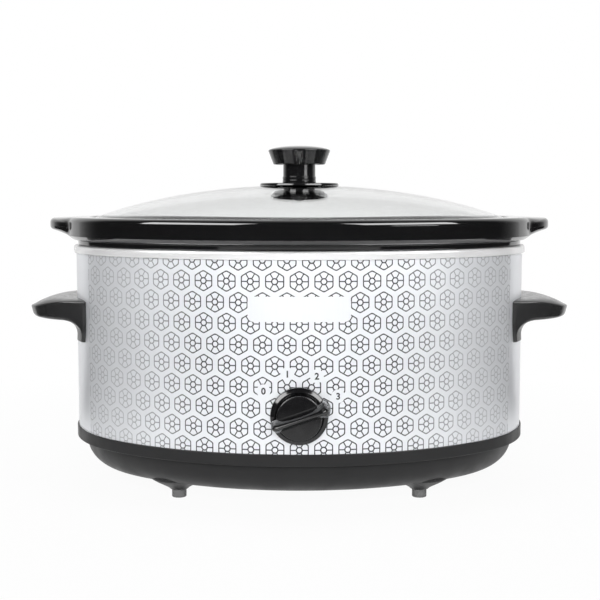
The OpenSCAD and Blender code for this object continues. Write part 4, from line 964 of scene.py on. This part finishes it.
# the grip runs along r, from its tail to its tip, with rounded ends and a gabled section
tipR = knob["tip"]
r = knob["tail"] + (tipR - knob["tail"]) * (0.5 - 0.5 * np.cos(np.pi * np.linspace(0, 1, 90)))
tailPart = np.clip((-knob["tailFrom"] - r) / knob["tailLong"], 0, 1)
tipPart = np.clip((r - knob["tipFrom"]) / (tipR - knob["tipFrom"]), 0, 1)
flared = knob["halfWide"] + knob["flare"] * np.clip(r / 19, 0, 1) ** 3 + 0.2 * np.clip(-r / 16, 0, 1) ** 2
halfWide = flared * (1 - tailPart ** 2.5) ** 0.5 * (1 - tipPart ** 1.9) ** 0.8 + 0.03
crestZ = knob["front"] - 0.3 * (r / 16) ** 2
for end, (start, length, low) in ((-1, knob["tailFall"]), (1, knob["tipFall"])):
    # the crest comes down to a low height by a quarter of an ellipse
    past = (end * r - start) / length
    crestZ = np.where(past > 0, low + (crestZ - low) * np.sqrt(1 - np.clip(past, 0, 1) ** 2), crestZ)
crestZ = np.where(r > knob["noseFrom"], np.interp(r, [knob["noseFrom"], tipR], knob["nose"]), crestZ)
footZ = np.minimum(knob["foot"], crestZ - 3.0)
s, sharpness = np.linspace(-1, 1, 25), knob["crest"]
peak = (np.hypot(s, sharpness) - sharpness) / (math.hypot(1, sharpness) - sharpness)
gable = blended(peak, s ** 2, knob["gable"])
halfWide, footZ, crestZ = halfWide[:, None], footZ[:, None], crestZ[:, None]
drop = np.linspace(0, 1, 7)[1:]
sideV, sideZ = halfWide + 0.35 * drop, blended(footZ, knob["back"] + 0.05, drop)
barV = np.concatenate([halfWide * s, sideV, -sideV[:, ::-1]], 1)
barZ = np.concatenate([blended(footZ, crestZ, 1 - gable), sideZ, sideZ[:, ::-1]], 1)
barGrid = np.stack([np.broadcast_to(r[:, None], barV.shape), barV, barZ], -1)
knobBody = carved(knobBody, "UNION", rough("bar", [barGrid], closeRows=True, capped=True), "MANIFOLD")
bore, post = knob["bore"], knob["bore"] + 3
room = chained((0, -2), (knob["hollow"], -2), (knob["hollow"], knob["hollowDeep"]), (post, knob["hollowDeep"]),
               (post, -1), (bore, -1), (bore, knob["boreDeep"]), (0, knob["boreDeep"]))
knobBody = carved(knobBody, "DIFFERENCE", rough("knobRoom", [turned(room, 72)]), "MANIFOLD")
knobMesh = finished(knobBody, "controlKnob", 34)
x, y, z = pointsOf(knobMesh).T
cosine, sine = (part(math.radians(knob["pointer"])) for part in (math.cos, math.sin))
frontY = (oval["centreY"] - oval["halfDepth"]) * mm
setPoints(knobMesh, np.stack([x * cosine - y * sine, frontY - z, dial["z"] * mm + x * sine + y * cosine], -1))
knobMesh.update()
place("controlKnob", knobMesh, "dial", glossPlastic, ["control_knob"])
print("control knob made")

# plain numbers round the knob, raised a hair off the wall and bent to it
bm = bmesh.new()
for number, (atX, atZ) in enumerate(reversed(dialPlaces)):
    font = bpy.data.curves.new("number", "FONT")
    font.body = str(number)
    font.align_x, font.align_y = "CENTER", "CENTER"
    font.extrude = 0.01
    font.offset = 0.03
    textPiece = added("number", font)
    mesh = evaluated(textPiece)
    bpy.data.objects.remove(textPiece)
    points = pointsOf(mesh)
    flat = points[:, :2] - (points[:, :2].max(0) + points[:, :2].min(0)) / 2
    flat *= dial["height"] / (flat[:, 1].max() - flat[:, 1].min())
    x, z = atX + flat[:, 0], atZ + flat[:, 1]
    proud = np.where(points[:, 2] > 0, 0.06, -0.04)
    y = oval["centreY"] + sideY - np.sqrt((sideRadius + proud) ** 2 - x ** 2)
    setPoints(mesh, np.stack([x, y, z], -1) * mm)
    bm.from_mesh(mesh)
    bpy.data.meshes.remove(mesh)
bmesh.ops.remove_doubles(bm, verts=bm.verts, dist=1e-7)
bmesh.ops.recalc_face_normals(bm, faces=bm.faces)
numbersMesh = bpy.data.meshes.new("dialNumbers")
bm.to_mesh(numbersMesh)
bm.free()
place("dialNumbers", numbersMesh, "housing", numberInk)

# finishes of the solids that stay
solidFinishes = [
    (softBlack, "lid_gasket cord_gland"), (heaterCloth, "heater_band"), (fuseCeramic, "thermal_fuse"),
    (wellMetal, "heat_shield"), (brass, "heater_terminals switch_contacts terminal_screws"),
    (phenolic, "switch_body switch_cover switch_rotor terminal_block"),
    (zinc, "heater_clamp clamp_bolt fuse_clip well_bracket_left well_bracket_right base_screws handle_screws"),
    (zinc, "switch_screws switch_shaft knob_spring"),
    (wireSkins["Black"], "lead_live"), (wireSkins["Red"], "lead_heater"),
    (wireSkins["Blue"], "lead_neutral lead_fuse"),
]
for material, nodeNames in solidFinishes:
    for nodeName in nodeNames.split():
        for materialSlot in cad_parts[nodeName].material_slots:
            materialSlot.material = material
print("solids finished")
